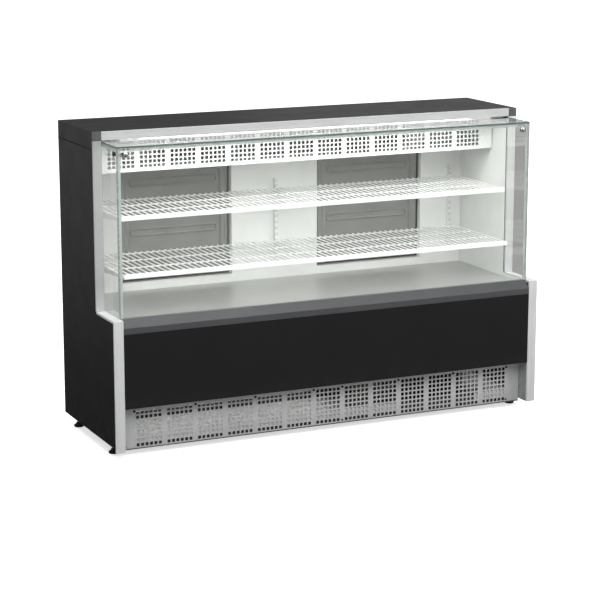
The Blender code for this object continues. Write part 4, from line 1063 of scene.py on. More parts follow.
def add_fan(bm, centre, radius, hub, depth, blades=5):
    """A hub and curved, twisted blades about an axis along Y, blowing to the front."""
    hub_profile = [(0, -depth / 2), (hub * 0.7, -depth / 2)]
    hub_profile += [(r * hub, h * depth) for r, h in ((0.92, -0.44), (1.0, -0.3), (1.0, 0.42))]
    hub_profile += [(hub * 0.8, depth * 0.44), (hub * 0.78, depth * 0.2), (0, depth * 0.2)]
    add_turned(bm, hub_profile, centre, Y_AXIS)
    steps_out = 8
    steps_round = 6
    thickness = 0.0012
    for blade in range(blades):
        faces = []
        for offset in (-thickness / 2, thickness / 2):
            grid = []
            for i in range(steps_out + 1):
                share = i / steps_out
                distance = hub * 0.92 + (radius - hub * 0.92) * share
                width = 0.62 + 0.30 * math.sin(share * math.pi * 0.62)
                row = []
                for k in range(steps_round + 1):
                    across = k / steps_round - 0.5
                    sweep = 0.30 * share
                    angle = math.tau * blade / blades + across * width * 1.15 + sweep
                    trim = 1 - 0.05 * share * (2 * across) ** 4
                    pitch = depth * (0.92 - 0.30 * share)
                    camber = 0.10 * depth * (1 - (2 * across) ** 2)
                    y = across * pitch + camber + offset
                    x = distance * trim * math.cos(angle)
                    z = distance * trim * math.sin(angle)
                    row.append(bm.verts.new(centre + Vector((x, y, z))))
                grid.append(row)
            faces.append(grid)
        front, back = faces
        for grid in faces:
            add_grid(bm, grid)
        rims = []
        for grid in (front, back):
            left = [row[0] for row in grid]
            right = [row[-1] for row in grid]
            rims.append(left + grid[-1][1:-1] + right[::-1] + grid[0][-2:0:-1])
        join_rings(bm, *rims)


def add_holed_plate(bm, low, high, y, wall, centre, radius, per_side=8):
    """A rectangular plate in an XZ plane with one round hole."""
    corners = [(low[0], low[1]), (high[0], low[1]), (high[0], high[1]), (low[0], high[1])]
    outer = []
    for start, end in zip(corners, corners[1:] + corners[:1]):
        for i in range(per_side):
            share = i / per_side
            x = start[0] + (end[0] - start[0]) * share
            z = start[1] + (end[1] - start[1]) * share
            outer.append((x, z))
    inner = []
    for x, z in outer:
        across = x - centre[0]
        above = z - centre[1]
        scale = radius / math.hypot(across, above)
        inner.append((centre[0] + across * scale, centre[1] + above * scale))
    rings = []
    for points, depth in ((outer, y), (inner, y), (inner, y + wall), (outer, y + wall)):
        rings.append([bm.verts.new((x, depth, z)) for x, z in points])
    join_all(bm, rings, around=True)


def fan_motor(node, fan_node):
    """A frame with a round mouth, four arms and a ribbed motor can."""
    low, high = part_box(node)
    fan_low, fan_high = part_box(fan_node)
    radius = (fan_high.z - fan_low.z) / 2
    centre = (fan_low + fan_high) / 2
    plate_y = fan_high.y + 0.0032
    bm = bmesh.new()
    mouth = min(radius * 1.03, (high.z - low.z) / 2 - 0.003)
    add_holed_plate(
        bm, (low.x, low.z), (high.x, high.z), plate_y, 0.0024, (centre.x, centre.z), mouth
    )
    for i in range(4):
        angle = math.pi / 4 + i * math.pi / 2
        out = Vector((math.cos(angle), 0, math.sin(angle)))
        start = Vector((centre.x, plate_y + 0.004, centre.z)) + out * radius * 0.34
        end = Vector((centre.x, plate_y + 0.004, centre.z)) + out * (mouth + 0.004)
        add_tube(bm, (start, end), 0.0024, 8)
    for share in (0.55, 0.78, 0.98):
        ring = []
        for k in range(49):
            angle = math.tau * k / 48
            x = centre.x + radius * share * math.cos(angle)
            z = centre.z + radius * share * math.sin(angle)
            ring.append((x, plate_y + 0.0065, z))
        add_tube(bm, ring, 0.0011, 6)
    can = radius * 0.42
    length = high.y - plate_y
    profile = [(0, 0), (can * 0.9, 0)]
    ribs = 5
    for i in range(ribs):
        base = 0.003 + (length - 0.008) * i / ribs
        top = base + (length - 0.008) * 0.55 / ribs
        profile += [(can, base), (can, top), (can * 0.94, top + 0.0004)]
    profile += [(can * 0.94, length - 0.005), (can * 0.80, length), (0, length)]
    add_turned(bm, profile, (centre.x, plate_y, centre.z), Y_AXIS)
    for x in (low.x + 0.006, high.x - 0.006):
        for z in (low.z + 0.006, high.z - 0.006):
            add_screw(bm, (x, plate_y, z), -Y_AXIS, 0.0030, x)
    piece(f"{node}_assembly", bm, MACHINE_BLACK, stands_for=(node,))


def fan(node, motor, hub_share, material):
    """The turning blades of a fan and, on the cabinet, its motor in a frame."""
    low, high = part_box(node)
    radius = (high.z - low.z) / 2
    bm = bmesh.new()
    add_fan(bm, (low + high) / 2, radius, radius * hub_share, high.y - low.y)
    piece(f"{node}_rotor", bm, material, node, (node,))
    fan_motor(motor, node)


def fans():
    for word, _ in SIDES:
        motor = f"evap_fan_motor_{word}"
        fan(f"evap_fan_{word}", motor, 0.36, GREY_PLASTIC)
    fan("condenser_fan", "condenser_fan_motor", 0.30, FINS)


def condenser():
    node = "condenser_coil"
    low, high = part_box(node)
    pitch = CONDENSER_FIN_PITCH
    finned_coil("condenser", node, low, high, pitch, MACHINE_BLACK, 7, 2)


def compressor():
    """A welded dome with a seam flange, a foot plate on rubber grommets and a terminal box."""
    low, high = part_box("compressor")
    centre = (low + high) / 2
    foot = low.z
    height = high.z - low.z
    radius = (high.y - low.y) / 2 / 1.05
    flange = 0.077
    profile = [(0, 0.006), (radius * 0.80, 0.008), (radius * 0.96, 0.022), (radius, 0.040)]
    profile += [(radius, flange - 0.006), (radius * 1.045, flange - 0.004)]
    profile += [(radius * 1.045, flange + 0.004), (radius, flange + 0.006)]
    dome = 0.048
    profile += [(radius, height - dome)]
    for degrees in range(10, 91, 10):
        angle = math.radians(degrees)
        out = max(radius * math.cos(angle), 0) if degrees < 90 else 0
        profile.append((out, height - dome + dome * math.sin(angle)))
    bm = bmesh.new()
    place = Vector((centre.x, centre.y, foot))
    add_turned(bm, profile, place, Z_AXIS, 48)
    foot_high = (high.x, centre.y + 0.055, foot + 0.0085)
    add_box(bm, (low.x, centre.y - 0.055, foot + 0.0055), foot_high, 0.001)
    box_y = centre.y - radius * 0.9
    box_low = (centre.x - 0.028, box_y - 0.026, foot + 0.085)
    add_box(bm, box_low, (centre.x + 0.028, box_y + 0.01, foot + 0.140), 0.004, 3)
    piece("compressor_shell", bm, MACHINE_BLACK, stands_for=("compressor",))
    bm = bmesh.new()
    grommet = [(0.004, 0), (0.010, 0), (0.010, 0.004), (0.007, 0.006)]
    grommet += [(0.009, 0.011), (0.004, 0.012)]
    for x in (low.x + 0.012, high.x - 0.012):
        for side in (-1, 1):
            spot = (x, centre.y + side * 0.043, foot)
            add_turned(bm, grommet, spot, Z_AXIS, 20)
    piece("compressor_grommets", bm, RUBBER)


def refrigerant_pipes():
    """Copper discharge, suction and liquid lines, with a filter drier in the liquid line."""
    comp_low, comp_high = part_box("compressor")
    cond_low, cond_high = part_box("condenser_coil")
    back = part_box("machine_back_panel")[0].y - 0.012
    middle = (comp_low + comp_high) / 2
    bm = bmesh.new()
    discharge = [
        (middle.x - 0.070, middle.y, comp_low.z + 0.12),
        (middle.x - 0.150, middle.y, comp_low.z + 0.12),
        (middle.x - 0.150, middle.y - 0.19, comp_low.z + 0.12),
        (middle.x - 0.235, middle.y - 0.19, comp_low.z + 0.12),
        (middle.x - 0.235, cond_high.y - 0.012, comp_low.z + 0.12),
        (cond_low.x - 0.005, cond_high.y - 0.012, comp_low.z + 0.12),
    ]
    add_tube(bm, rounded_path(discharge, 0.018), 0.0035)
    base_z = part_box("insulated_base")[0].z - 0.02
    suction = [
        (middle.x + 0.070, middle.y, comp_low.z + 0.10),
        (middle.x + 0.135, middle.y, comp_low.z + 0.10),
        (middle.x + 0.135, back - 0.03, comp_low.z + 0.10),
        (middle.x + 0.135, back - 0.03, base_z),
        (SUCTION_END, back - 0.03, base_z),
    ]
    add_tube(bm, rounded_path(suction, 0.022), 0.0050)
    liquid = [
        (cond_low.x - 0.005, cond_low.y + 0.012, cond_low.z + 0.03),
        (cond_low.x - 0.060, cond_low.y + 0.012, cond_low.z + 0.03),
        (cond_low.x - 0.060, cond_low.y + 0.012, cond_low.z + 0.12),
        (cond_low.x - 0.060, middle.y + 0.04, cond_low.z + 0.12),
    ]
    add_tube(bm, rounded_path(liquid, 0.016), 0.0030)
    piece("refrigerant_pipes", bm, COPPER)
    bm = bmesh.new()
    drier = [(0, 0), (0.004, 0), (0.0045, 0.010), (0.011, 0.022), (0.011, 0.085)]
    drier += [(0.0045, 0.097), (0.004, 0.107), (0, 0.107)]
    start = (cond_low.x - 0.060, middle.y - 0.11, cond_low.z + 0.12)
    add_turned(bm, drier, start, Y_AXIS, 24)
    piece("filter_drier", bm, COPPER)


def drain():
    """The outlet under the drip tray, and the pale hose that empties it into the pan."""
    tray_low, tray_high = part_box("drip_tray")
    bm = bmesh.new()
    outlet = ((0, -0.004), (0.011, -0.004), (0.011, 0.0), (0, 0.0))
    place = (tray_low.x + 0.03, tray_high.y - 0.03, tray_low.z)
    add_turned(bm, outlet, place, Z_AXIS, 20)
    piece("drain_fitting", bm, GREY_PLASTIC)
    cond_low, cond_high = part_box("condenser_coil")
    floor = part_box("base_pan")[0].z + 0.002
    x = cond_high.x + 0.025
    y = cond_low.y + 0.026
    hose = [
        (x, y + 0.055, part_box("insulated_base")[0].z + 0.002),
        (x, y + 0.055, floor + 0.098),
        (x + 0.030, y + 0.012, floor + 0.077),
        (x + 0.065, y, floor + 0.061),
        (x + 0.190, y, floor + 0.010),
        (x + 0.205, y, floor + 0.005),
    ]
    bm = bmesh.new()
    add_tube(bm, rounded_path(hose, 0.012), HOSE_RADIUS, 14)
    piece("drain_hose", bm, WHITE_PLASTIC)


def machine_base_plate():
    """The black plate under the cooling machine, its front edge hooked over the pan's lip."""
    cond_low, cond_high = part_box("condenser_coil")
    pan_low, pan_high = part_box("base_pan")
    floor = pan_low.z + 0.0021
    left = cond_low.x + 0.01
    right = cond_high.x + 0.045
    back = pan_low.y + 0.006
    front = pan_low.y - 0.0010
    top = pan_high.z + 0.0010
    bm = bmesh.new()
    add_box(bm, (left, back, floor), (right, cond_high.y + 0.07, floor + 0.0016), 0.0004)
    add_box(bm, (left, back, floor), (right, back + 0.0012, top), 0.0004)
    add_box(bm, (left, front, top - 0.0008), (right, back + 0.0012, top), 0.0002)
    add_box(bm, (left, front, pan_low.z), (right, front + 0.0008, top), 0.0002)
    piece("machine_base_plate", bm, MACHINE_BLACK)


# Glass ----------------------------------------------------------------------------------


def glass_pane(node, axis):
    """A pane with polished arrises, clear on its faces and green on its ground edges."""
    low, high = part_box(node)
    bm = bmesh.new()
    add_box(bm, low, high, 0.0007, 2)
    made = piece(node + "_pane", bm, GLASS, stands_for=(node,), sharp=0)
    made.data.materials.append(GLASS_EDGE)
    made.data.materials.append(GLASS_CORNER)
    for face in made.data.polygons:
        if abs(face.normal[axis]) > 0.99:
            continue
        upright = axis != 2 and abs(face.normal.z) < 0.5
        face.material_index = 2 if upright else 1


def glass_box():
    glass_pane("front_glass", 1)
    glass_pane("side_glass_left", 0)
    glass_pane("side_glass_right", 0)
    glass_pane("top_glass", 2)


def corner_seals():
    """Clear silicone in the two upright corners of the glass box."""
    front_low, front_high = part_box("front_glass")
    bm = bmesh.new()
    for word, side in SIDES:
        side_low, side_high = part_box(f"side_glass_{word}")
        x = side_high.x if side < 0 else side_low.x
        y = front_high.y
        corner = ((0, 0), (1, 0), (1, 0.12), (0.45, 0.2), (0.2, 0.45), (0.12, 1), (0, 1))
        rings = []
        for z in (front_low.z, front_high.z):
            ring = []
            for across, back in corner:
                ring.append(bm.verts.new((x - side * SEAL_LEG * across, y + SEAL_LEG * back, z)))
            rings.append(ring)
        join_rings(bm, *rings)
        for ring in rings:
            bm.faces.new(ring)
    piece("glass_corner_seals", bm, SEAL)


def joint_strip():
    """The milky joint along the meeting of the top pane and the front pane."""
    low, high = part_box("glass_joint_angle")
    bm = bmesh.new()
    leg = JOINT_LEG
    wall = 0.0016
    outline = [(low.y, high.z), (low.y + leg, high.z), (low.y + leg, high.z - wall)]
    outline += [(low.y + wall, high.z - wall), (low.y + wall, high.z - leg), (low.y, high.z - leg)]
    add_prism(bm, outline, low.x, high.x)
    for word, side in SIDES:
        side_low, side_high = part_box(f"side_glass_{word}")
        inner = side_high.x if side < 0 else side_low.x
        xs = sorted((inner, inner - side * wall))
        strip_low = (xs[0], side_low.y + leg, high.z - leg)
        add_box(bm, strip_low, (xs[1], side_high.y, high.z), 0.0004)
    piece(
        "glass_joint_strip", bm, SEAL, stands_for=("glass_joint_angle",), sharp=20
    )


def glass_clamps():
    """Corner clamps: an inner bracket, a chrome dome in front and a black disc at the side."""
    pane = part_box("front_glass")
    for word, side in SIDES:
        low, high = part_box(f"glass_clamp_{word}")
        side_low, side_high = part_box(f"side_glass_{word}")
        z = (low.z + high.z) / 2
        disc = (high.z - low.z) / 2
        inner_low = low.x if side > 0 else high.x
        front_x = inner_low + side * disc
        outer = side_high.x if side > 0 else side_low.x
        bm = bmesh.new()
        wall = 0.003
        half = 0.0078
        inside_x = outer - side * (0.006 + 0.0006)
        xs = sorted((front_x - side * disc, inside_x))
        bracket_y = pane[1].y + 0.0006
        add_box(bm, (xs[0], bracket_y, z - half), (xs[1], bracket_y + wall, z + half), 0.0007, 3)
        leg_xs = sorted((inside_x, inside_x - side * wall))
        add_box(
            bm, (leg_xs[0], bracket_y, z - half), (leg_xs[1], high.y - 0.0002, z + half), 0.0007, 3
        )
        dome = [(0.0048, 0.006), (0.0048, -0.001), (disc, -0.001), (disc, -0.0035)]
        dome += [(disc * math.cos(a), -0.0035 - 0.0045 * math.sin(a)) for a in (0.3, 0.6, 0.9, 1.2)]
        dome.append((0, -0.0082))
        add_turned(bm, dome, (front_x, pane[0].y + 0.0005, z), Y_AXIS, 40)
        piece(
            f"glass_clamp_{word}_chrome", bm, CHROME,
            stands_for=(f"glass_clamp_{word}",),
        )
        bm = bmesh.new()
        side_y = high.y - disc
        button = [(0, -0.002), (disc * 0.45, -0.002), (disc * 0.45, 0.0006), (disc, 0.0006)]
        button += [(disc, 0.0026), (disc * 0.92, 0.0036), (disc * 0.35, 0.0042), (0, 0.0036)]
        add_turned(bm, button, (outer, side_y, z), side * X_AXIS, 40)
        piece(f"glass_clamp_{word}_button", bm, GLOSS_BLACK)


# Shelves --------------------------------------------------------------------------------


def wire_shelf(word):
    """Front-to-back wires on cross wires, behind a flat front strip."""
    node = f"shelf_{word}"
    low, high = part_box(node)
    strip = 0.0022
    bm = bmesh.new()
    add_box(bm, (low.x, low.y, low.z), (high.x, low.y + strip, low.z + 0.015), 0.0006, 2)
    add_box(bm, (low.x, low.y + strip, low.z), (high.x, low.y + 0.010, low.z + 0.0016), 0.0004)
    wire_z = low.z + 0.0138 - WIRE_RADIUS
    inner = low.x + 0.0030
    count = round((high.x - low.x - 0.006) / WIRE_PITCH)
    for i in range(count + 1):
        x = inner + (high.x - low.x - 0.006) * i / count
        corners = [
            (x, low.y + strip, low.z + 0.006),
            (x, low.y + 0.0105, low.z + 0.006),
            (x, low.y + 0.0150, wire_z),
            (x, high.y - WIRE_RADIUS, wire_z),
        ]
        add_tube(bm, rounded_path(corners, 0.0024, 2), WIRE_RADIUS, 8)
    cross_z = wire_z - WIRE_RADIUS - CROSS_WIRE_RADIUS + 0.0006
    depth = high.y - low.y
    for share in (0.07, 0.37, 0.68, 0.985):
        y = low.y + depth * share
        ends = ((low.x + 0.001, y, cross_z), (high.x - 0.001, y, cross_z))
        add_tube(bm, ends, CROSS_WIRE_RADIUS, 10)
    top_z = low.z + 0.015 + 0.0014
    add_tube(bm, ((low.x, low.y + 0.0045, top_z), (high.x, low.y + 0.0045, top_z)), 0.0018, 8)
    piece(f"wire_{node}", bm, WHITE, stands_for=(node,))


def shelves():
    for word in ("upper", "lower"):
        wire_shelf(word)
    for word in ("left", "centre", "right"):
        dress(f"shelf_support_{word}", SHADED_WALL, 0.0006)
    support_slots()


def support_slots():
    """Grey patches standing for the slots down the uprights, with the shade in them painted, and
    screw heads.
    """
    bm = bmesh.new()
    screws = bmesh.new()
    for word in ("left", "centre", "right"):
        low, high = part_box(f"shelf_support_{word}")
        x = (low.x + high.x) / 2
        face = high.y - 0.0152
        for i in range(12):
            z = low.z + 0.03 + i * (high.z - low.z - 0.06) / 11
            for side in (-1, 1):
                centre = x + side * 0.0038
                slot_low = (centre - 0.0012, face, z - 0.006)
                slot_high = (centre + 0.0012, face + 0.001, z + 0.006)
                add_box(bm, slot_low, slot_high)
        for z in (low.z + 0.012, high.z - 0.012):
            add_screw(screws, (x + 0.0001, face + 0.0002, z), -Y_AXIS, 0.0030, z)
    piece("shelf_support_slots", bm, SLOT_SHADE)
    piece("shelf_support_screws", screws, ZINC)


# Lamp -----------------------------------------------------------------------------------


def led_lamp():
    """An opal cover between end caps, under a thin aluminium channel."""
    low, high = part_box("led_lamp")
    bm = bmesh.new()
    middle = (low.y + high.y) / 2
    half = (high.y - low.y) / 2
    points = [(high.y, high.z - 0.003)]
    for angle in (0.0, 0.4, 0.8, 1.2, math.pi / 2, 1.94, 2.34, 2.74, math.pi):
        y = middle + half * math.cos(angle)
        points.append((y, low.z + 0.006 - 0.006 * math.sin(angle)))
    points.append((low.y, high.z - 0.003))
    add_prism(bm, points, low.x + 0.012, high.x - 0.012)
    piece("led_lamp_cover", bm, OPAL, stands_for=("led_lamp",))
    channel_low = (low.x + 0.002, low.y, high.z - 0.003)
    channel_high = (high.x - 0.002, high.y, high.z)
    finish = ALUMINIUM_LEVEL
    box_piece("led_lamp_channel", channel_low, channel_high, 0.0005, finish)
    bm = bmesh.new()
    for x in (low.x, high.x - 0.012):
        add_box(bm, (x, low.y, low.z), (x + 0.012, high.y, high.z - 0.0005), 0.003, 3)
    piece("led_lamp_caps", bm, WHITE_PLASTIC)


# Rear doors -----------------------------------------------------------------------------


def soft_step(value, edge, width):
    """0 below the edge, 1 above it, smooth over the width."""
    share = min(max((value - edge) / width + 0.5, 0.0), 1.0)
    return share * share * (3 - 2 * share)


def rounded_distance(x, z, half_x, half_z, radius):
    """Signed distance to a round-cornered rectangle about the origin, negative inside."""
    out_x = abs(x) - half_x + radius
    out_z = abs(z) - half_z + radius
    outside = math.hypot(max(out_x, 0.0), max(out_z, 0.0))
    return outside + min(max(out_x, out_z), 0.0) - radius


def graded(low, high, marks, fine, coarse, reach):
    """Values from low to high, close together near every mark and further apart elsewhere."""
    values = [low]
    while values[-1] < high:
        near = min(abs(values[-1] - mark) for mark in marks)
        share = min(max((near - reach) / reach, 0.0), 1.0)
        values.append(values[-1] + fine + (coarse - fine) * share)
    scale = (high - low) / (values[-1] - low)
    return [low + (value - low) * scale for value in values]


def liner_height(x, z, half_x, half_z, rib_half, rib_middle, ribs):
    """How far the moulded skin stands back from its border at one point."""
    inside = -rounded_distance(x, z, half_x - LINER_BORDER, half_z - LINER_BORDER, 0.022)
    depth = LINER_RECESS * soft_step(inside, 0.0, 0.008)
    dike = 0.0016 * (soft_step(inside, -0.020, 0.005) - soft_step(inside, -0.012, 0.005))
    rise = 0.0
    for rib_z in ribs:
        edge = abs(rounded_distance(
            x - rib_middle, z - rib_z, rib_half, RIB_HALF_HEIGHT, RIB_HALF_HEIGHT
        ))
        rise = max(rise, 1 - soft_step(edge, 0.0034, 0.0036))
    return depth + dike - RIB_RISE * rise


def moulded_liner(word, side):
    """The vacuum-formed inner skin of a door: a border, a recess and outlined ribs."""
    node = f"door_liner_{word}"
    low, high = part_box(node)
    half_x = (high.x - low.x) / 2
    half_z = (high.z - low.z) / 2
    centre = (low + high) / 2
    rib_middle = side * (RIB_ENDS[0] + RIB_ENDS[1]) / 2 - centre.x
    rib_half = (RIB_ENDS[1] - RIB_ENDS[0]) / 2 + RIB_HALF_HEIGHT * 0.5
    ribs = [z - centre.z for z in RIB_HEIGHTS]
    x_marks = [-half_x + 0.006, half_x - 0.006, LINER_BORDER - half_x, half_x - LINER_BORDER]
    x_marks += [rib_middle - rib_half + 0.006, rib_middle + rib_half - 0.006]
    z_marks = [-half_z + 0.006, half_z - 0.006, LINER_BORDER - half_z, half_z - LINER_BORDER]
    for z in ribs:
        z_marks += [z - RIB_HALF_HEIGHT, z + RIB_HALF_HEIGHT]
    xs = graded(-half_x, half_x, x_marks, 0.0012, 0.016, 0.012)
    zs = graded(-half_z, half_z, z_marks, 0.0011, 0.006, 0.0055)
    bm = bmesh.new()
    rows = []
    for z in zs:
        row = []
        for x in xs:
            edge = min(half_x - abs(x), half_z - abs(z))
            roll = 0.004 * (1 - soft_step(edge, 0.002, 0.005))
            y = low.y + roll + liner_height(x, z, half_x, half_z, rib_half, rib_middle, ribs)
            row.append(bm.verts.new((centre.x + x, y, centre.z + z)))
        rows.append(row)
    add_grid(bm, rows)
    rim = rows[0] + [row[-1] for row in rows[1:]]
    rim += rows[-1][-2::-1] + [row[0] for row in rows[-2:0:-1]]
    back = [bm.verts.new((vert.co.x, high.y, vert.co.z)) for vert in rim]
    join_rings(bm, rim, back)
    bm.faces.new(back)
    piece(f"{node}_skin", bm, LINER, f"door_{word}", (node,), sharp=60)


def gasket(word):
    """A magnetic seal: a ribbed bellows between the door and the frame."""
    node = f"door_gasket_{word}"
    low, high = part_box(node)
    depth = high.y - low.y
    waves = 3
    profile = [(0.0015, high.y), (0.0, high.y - depth * 0.12)]
    for i in range(waves):
        share = 0.2 + 0.6 * i / waves
        profile.append((0.0022, high.y - depth * share))
        profile.append((0.0002, high.y - depth * (share + 0.1)))
    profile += [(0.0006, low.y + depth * 0.12), (0.0025, low.y)]
    profile += [(0.0110, low.y), (0.0130, low.y + depth * 0.12), (0.0138, high.y)]
    bm = bmesh.new()
    add_rim(bm, (low.x, low.z), (high.x, high.z), profile)
    piece(f"{node}_bellows", bm, GREY_RUBBER, f"door_{word}", (node,))


def rear_door(word, side):
    """A foamed door: a framed skin and a bow handle on two feet."""
    node = f"rear_door_{word}"
    low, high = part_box(node)
    body = f"door_{word}"
    slab_back = high.y - 0.022
    front = low.y
    inset = 0.003
    slab_low = (low.x + inset, front + 0.0004, low.z + inset)
    slab_high = (high.x - inset, slab_back - 0.0014, high.z - inset)
    box_piece(f"{node}_slab", slab_low, slab_high, 0.001, BLACK, body, (node,))
    bm = bmesh.new()
    width = 0.026
    y0 = front
    y1 = slab_back
    r = 0.004
    profile = [(r, y0), (0.0, y0 + r), (0.0, y1 - r)]
    profile += [(r - px, y1 - r + pz) for px, pz in arc((0, 0), r, 20, 90, 4)]
    profile += [(width - 0.004, y1), (width - 0.001, y1 - 0.0012), (width, y1 - 0.0034)]
    profile += [(width, y1 - 0.006), (0.006, y1 - 0.006), (0.006, y0)]
    add_rim(bm, (low.x, low.z), (high.x, high.z), profile)
    piece(f"{node}_frame", bm, DOOR_FRAME, body)
    handle_x = side * HANDLE_OUT
    z_low = HANDLE_FEET[0] + HANDLE_INSET
    z_high = HANDLE_FEET[1] - HANDLE_INSET
    reach = high.y - 0.0050
    bm = bmesh.new()
    corners = [
        (handle_x, slab_back - 0.001, z_low),
        (handle_x, reach, z_low),
        (handle_x, reach, z_high),
        (handle_x, slab_back - 0.001, z_high),
    ]
    add_tube(bm, rounded_path(corners, 0.012, 8), 0.0048, 16)
    foot = ((0.0, 0.0), (0.0085, 0.0), (0.0085, 0.0016), (0.0070, 0.0030), (0.0, 0.0030))
    for z in (z_low, z_high):
        add_turned(bm, foot, (handle_x, slab_back, z), Y_AXIS, 28)
    piece(f"{node}_handle", bm, ALUMINIUM_UPRIGHT, body)


def door_hinges():
    for word, side in SIDES:
        node = f"door_hinge_{word}"
        dress(node, ZINC, 0.0006)
        low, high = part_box(node)
        x = side * HINGE_SCREWS_OUT
        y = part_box("rear_frame")[1].y + 0.0044
        bm = bmesh.new()
        count = 5
        for i in range(count):
            z = low.z + 0.03 + (high.z - low.z - 0.06) * i / (count - 1)
            add_screw(bm, (x, y, z), Y_AXIS, 0.0042, z * 9)
        piece(f"{node}_screws", bm, CHROME)


# Machine compartment --------------------------------------------------------------------


def add_louvre(bm, centre_x, z, y, length):
    """A pressed louvre: a hood that stands out over a slot, closed at its ends."""
    rows = []
    steps = 8
    ends = 10
    depth = 0.009
    for k in range(steps + 1):
        share = k / steps
        rise = math.sin(share * math.pi / 2)
        row = []
        for i in range(ends * 2 + 1):
            across = i / ends - 1
            fade = 1 - max(abs(across) - 0.9, 0.0) ** 2 / 0.01
            bulge = math.sqrt(max(fade, 0.0))
            x = centre_x + across * length / 2
            height = z + LOUVRE_HEIGHT * 1.5 * (1 - share)
            row.append(bm.verts.new((x, y + depth * rise * bulge, height)))
        rows.append(row)
    add_grid(bm, rows)


def back_cover():
    """The rear cover: a pressed sheet with louvre banks and screws."""
    low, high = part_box("machine_back_panel")
    y = low.y + SHEET
    bm = bmesh.new()
    x_cuts = [low.x]
    for centre in LOUVRE_BANKS:
        x_cuts += [centre - LOUVRE_LENGTH / 2, centre + LOUVRE_LENGTH / 2]
    inlet_low, inlet_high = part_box("power_inlet")
    socket = 0.0055
    x_cuts += [inlet_low.x + socket, inlet_high.x - socket, high.x]
    z_cuts = [low.z, inlet_low.z + socket, inlet_high.z - socket]
    for row in range(LOUVRE_ROWS):
        z = LOUVRE_BOTTOM + row * LOUVRE_PITCH
        z_cuts += [z, z + LOUVRE_HEIGHT]
    z_cuts = sorted(z_cuts + [high.z])
    x_cuts = sorted(x_cuts)
    verts = {}
    for x in x_cuts:
        for z in z_cuts:
            verts[x, z] = bm.verts.new((x, low.y, z))
    slots = {LOUVRE_BOTTOM + row * LOUVRE_PITCH for row in range(LOUVRE_ROWS)}
    starts = {centre - LOUVRE_LENGTH / 2 for centre in LOUVRE_BANKS}
    for left, right in zip(x_cuts, x_cuts[1:]):
        for bottom, top in zip(z_cuts, z_cuts[1:]):
            louvre = left in starts and bottom in slots
            inlet = left == inlet_low.x + socket and bottom == inlet_low.z + socket
            if louvre or inlet:
                continue
            corners = ((left, bottom), (right, bottom), (right, top), (left, top))
            bm.faces.new([verts[corner] for corner in corners])
    made = piece(
        "machine_back_sheet", bm, GRILLE, stands_for=("machine_back_panel",),
        sharp=0,
    )
    thicken(made, SHEET, -1.0)
    bm = bmesh.new()
    for centre in LOUVRE_BANKS:
        for row in range(LOUVRE_ROWS):
            add_louvre(bm, centre, LOUVRE_BOTTOM + row * LOUVRE_PITCH, y, LOUVRE_LENGTH)
    made = piece("machine_back_louvres", bm, GRILLE, sharp=50)
    thicken(made, 0.001, 0.0)
    bm = bmesh.new()
    for z in (low.z + 0.012, (low.z + high.z) / 2, high.z - 0.012):
        for side in (-1, 1):
            add_screw(bm, (side * (high.x - 0.012), y, z), Y_AXIS, 0.0045, z * 5)
    for i in range(5):
        x = low.x + 0.14 + i * (high.x - low.x - 0.28) / 4
        for z in (low.z + 0.012, high.z - 0.012):
            add_screw(bm, (x, y, z), Y_AXIS, 0.0045, x)
    piece("machine_back_screws", bm, ZINC)


def control_plate():
    """The plate behind the knob and the switch, with a ring of marks round the knob."""
    knob_low, knob_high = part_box("thermostat_knob")
    knob = (knob_low + knob_high) / 2
    switch_low, switch_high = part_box("light_switch")
    switch = (switch_low + switch_high) / 2
    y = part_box("machine_back_panel")[0].y + SHEET
    left, right = CONTROL_PLATE_ENDS
    back = knob_low.y + 0.0140 - 0.0006
    low = (left, y - 0.0002, knob.z - 0.04)
    high = (right, back, knob.z + 0.04)
    box_piece("control_plate", low, high, 0.0016, GREY_PLASTIC, segments=3)
    bm = bmesh.new()
    marks = 11
    for i in range(marks):
        angle = math.radians(225 - 270 * i / (marks - 1))
        out = Vector((math.cos(angle), 0, math.sin(angle)))
        length = 0.005 if i % 5 == 0 else 0.003
        start = Vector((knob.x, back, knob.z)) + out * 0.0235
        end = start + out * length
        add_tube(bm, (start, end), 0.0005, 6)
    piece("thermostat_scale", bm, WHITE_PLASTIC)
    bezel = [(0, back - 0.0005), (0, back + 0.001), (0.0012, back + 0.0022)]
    bezel += [(0.0030, back + 0.0022), (0.0038, back + 0.0006), (0.0038, back - 0.0005)]
    rim_low = (switch.x - 0.0155, switch.z - 0.0235)
    bm = bmesh.new()
    add_rim(bm, rim_low, (switch.x + 0.0155, switch.z + 0.0235), bezel)
    piece("light_switch_bezel", bm, MACHINE_BLACK)


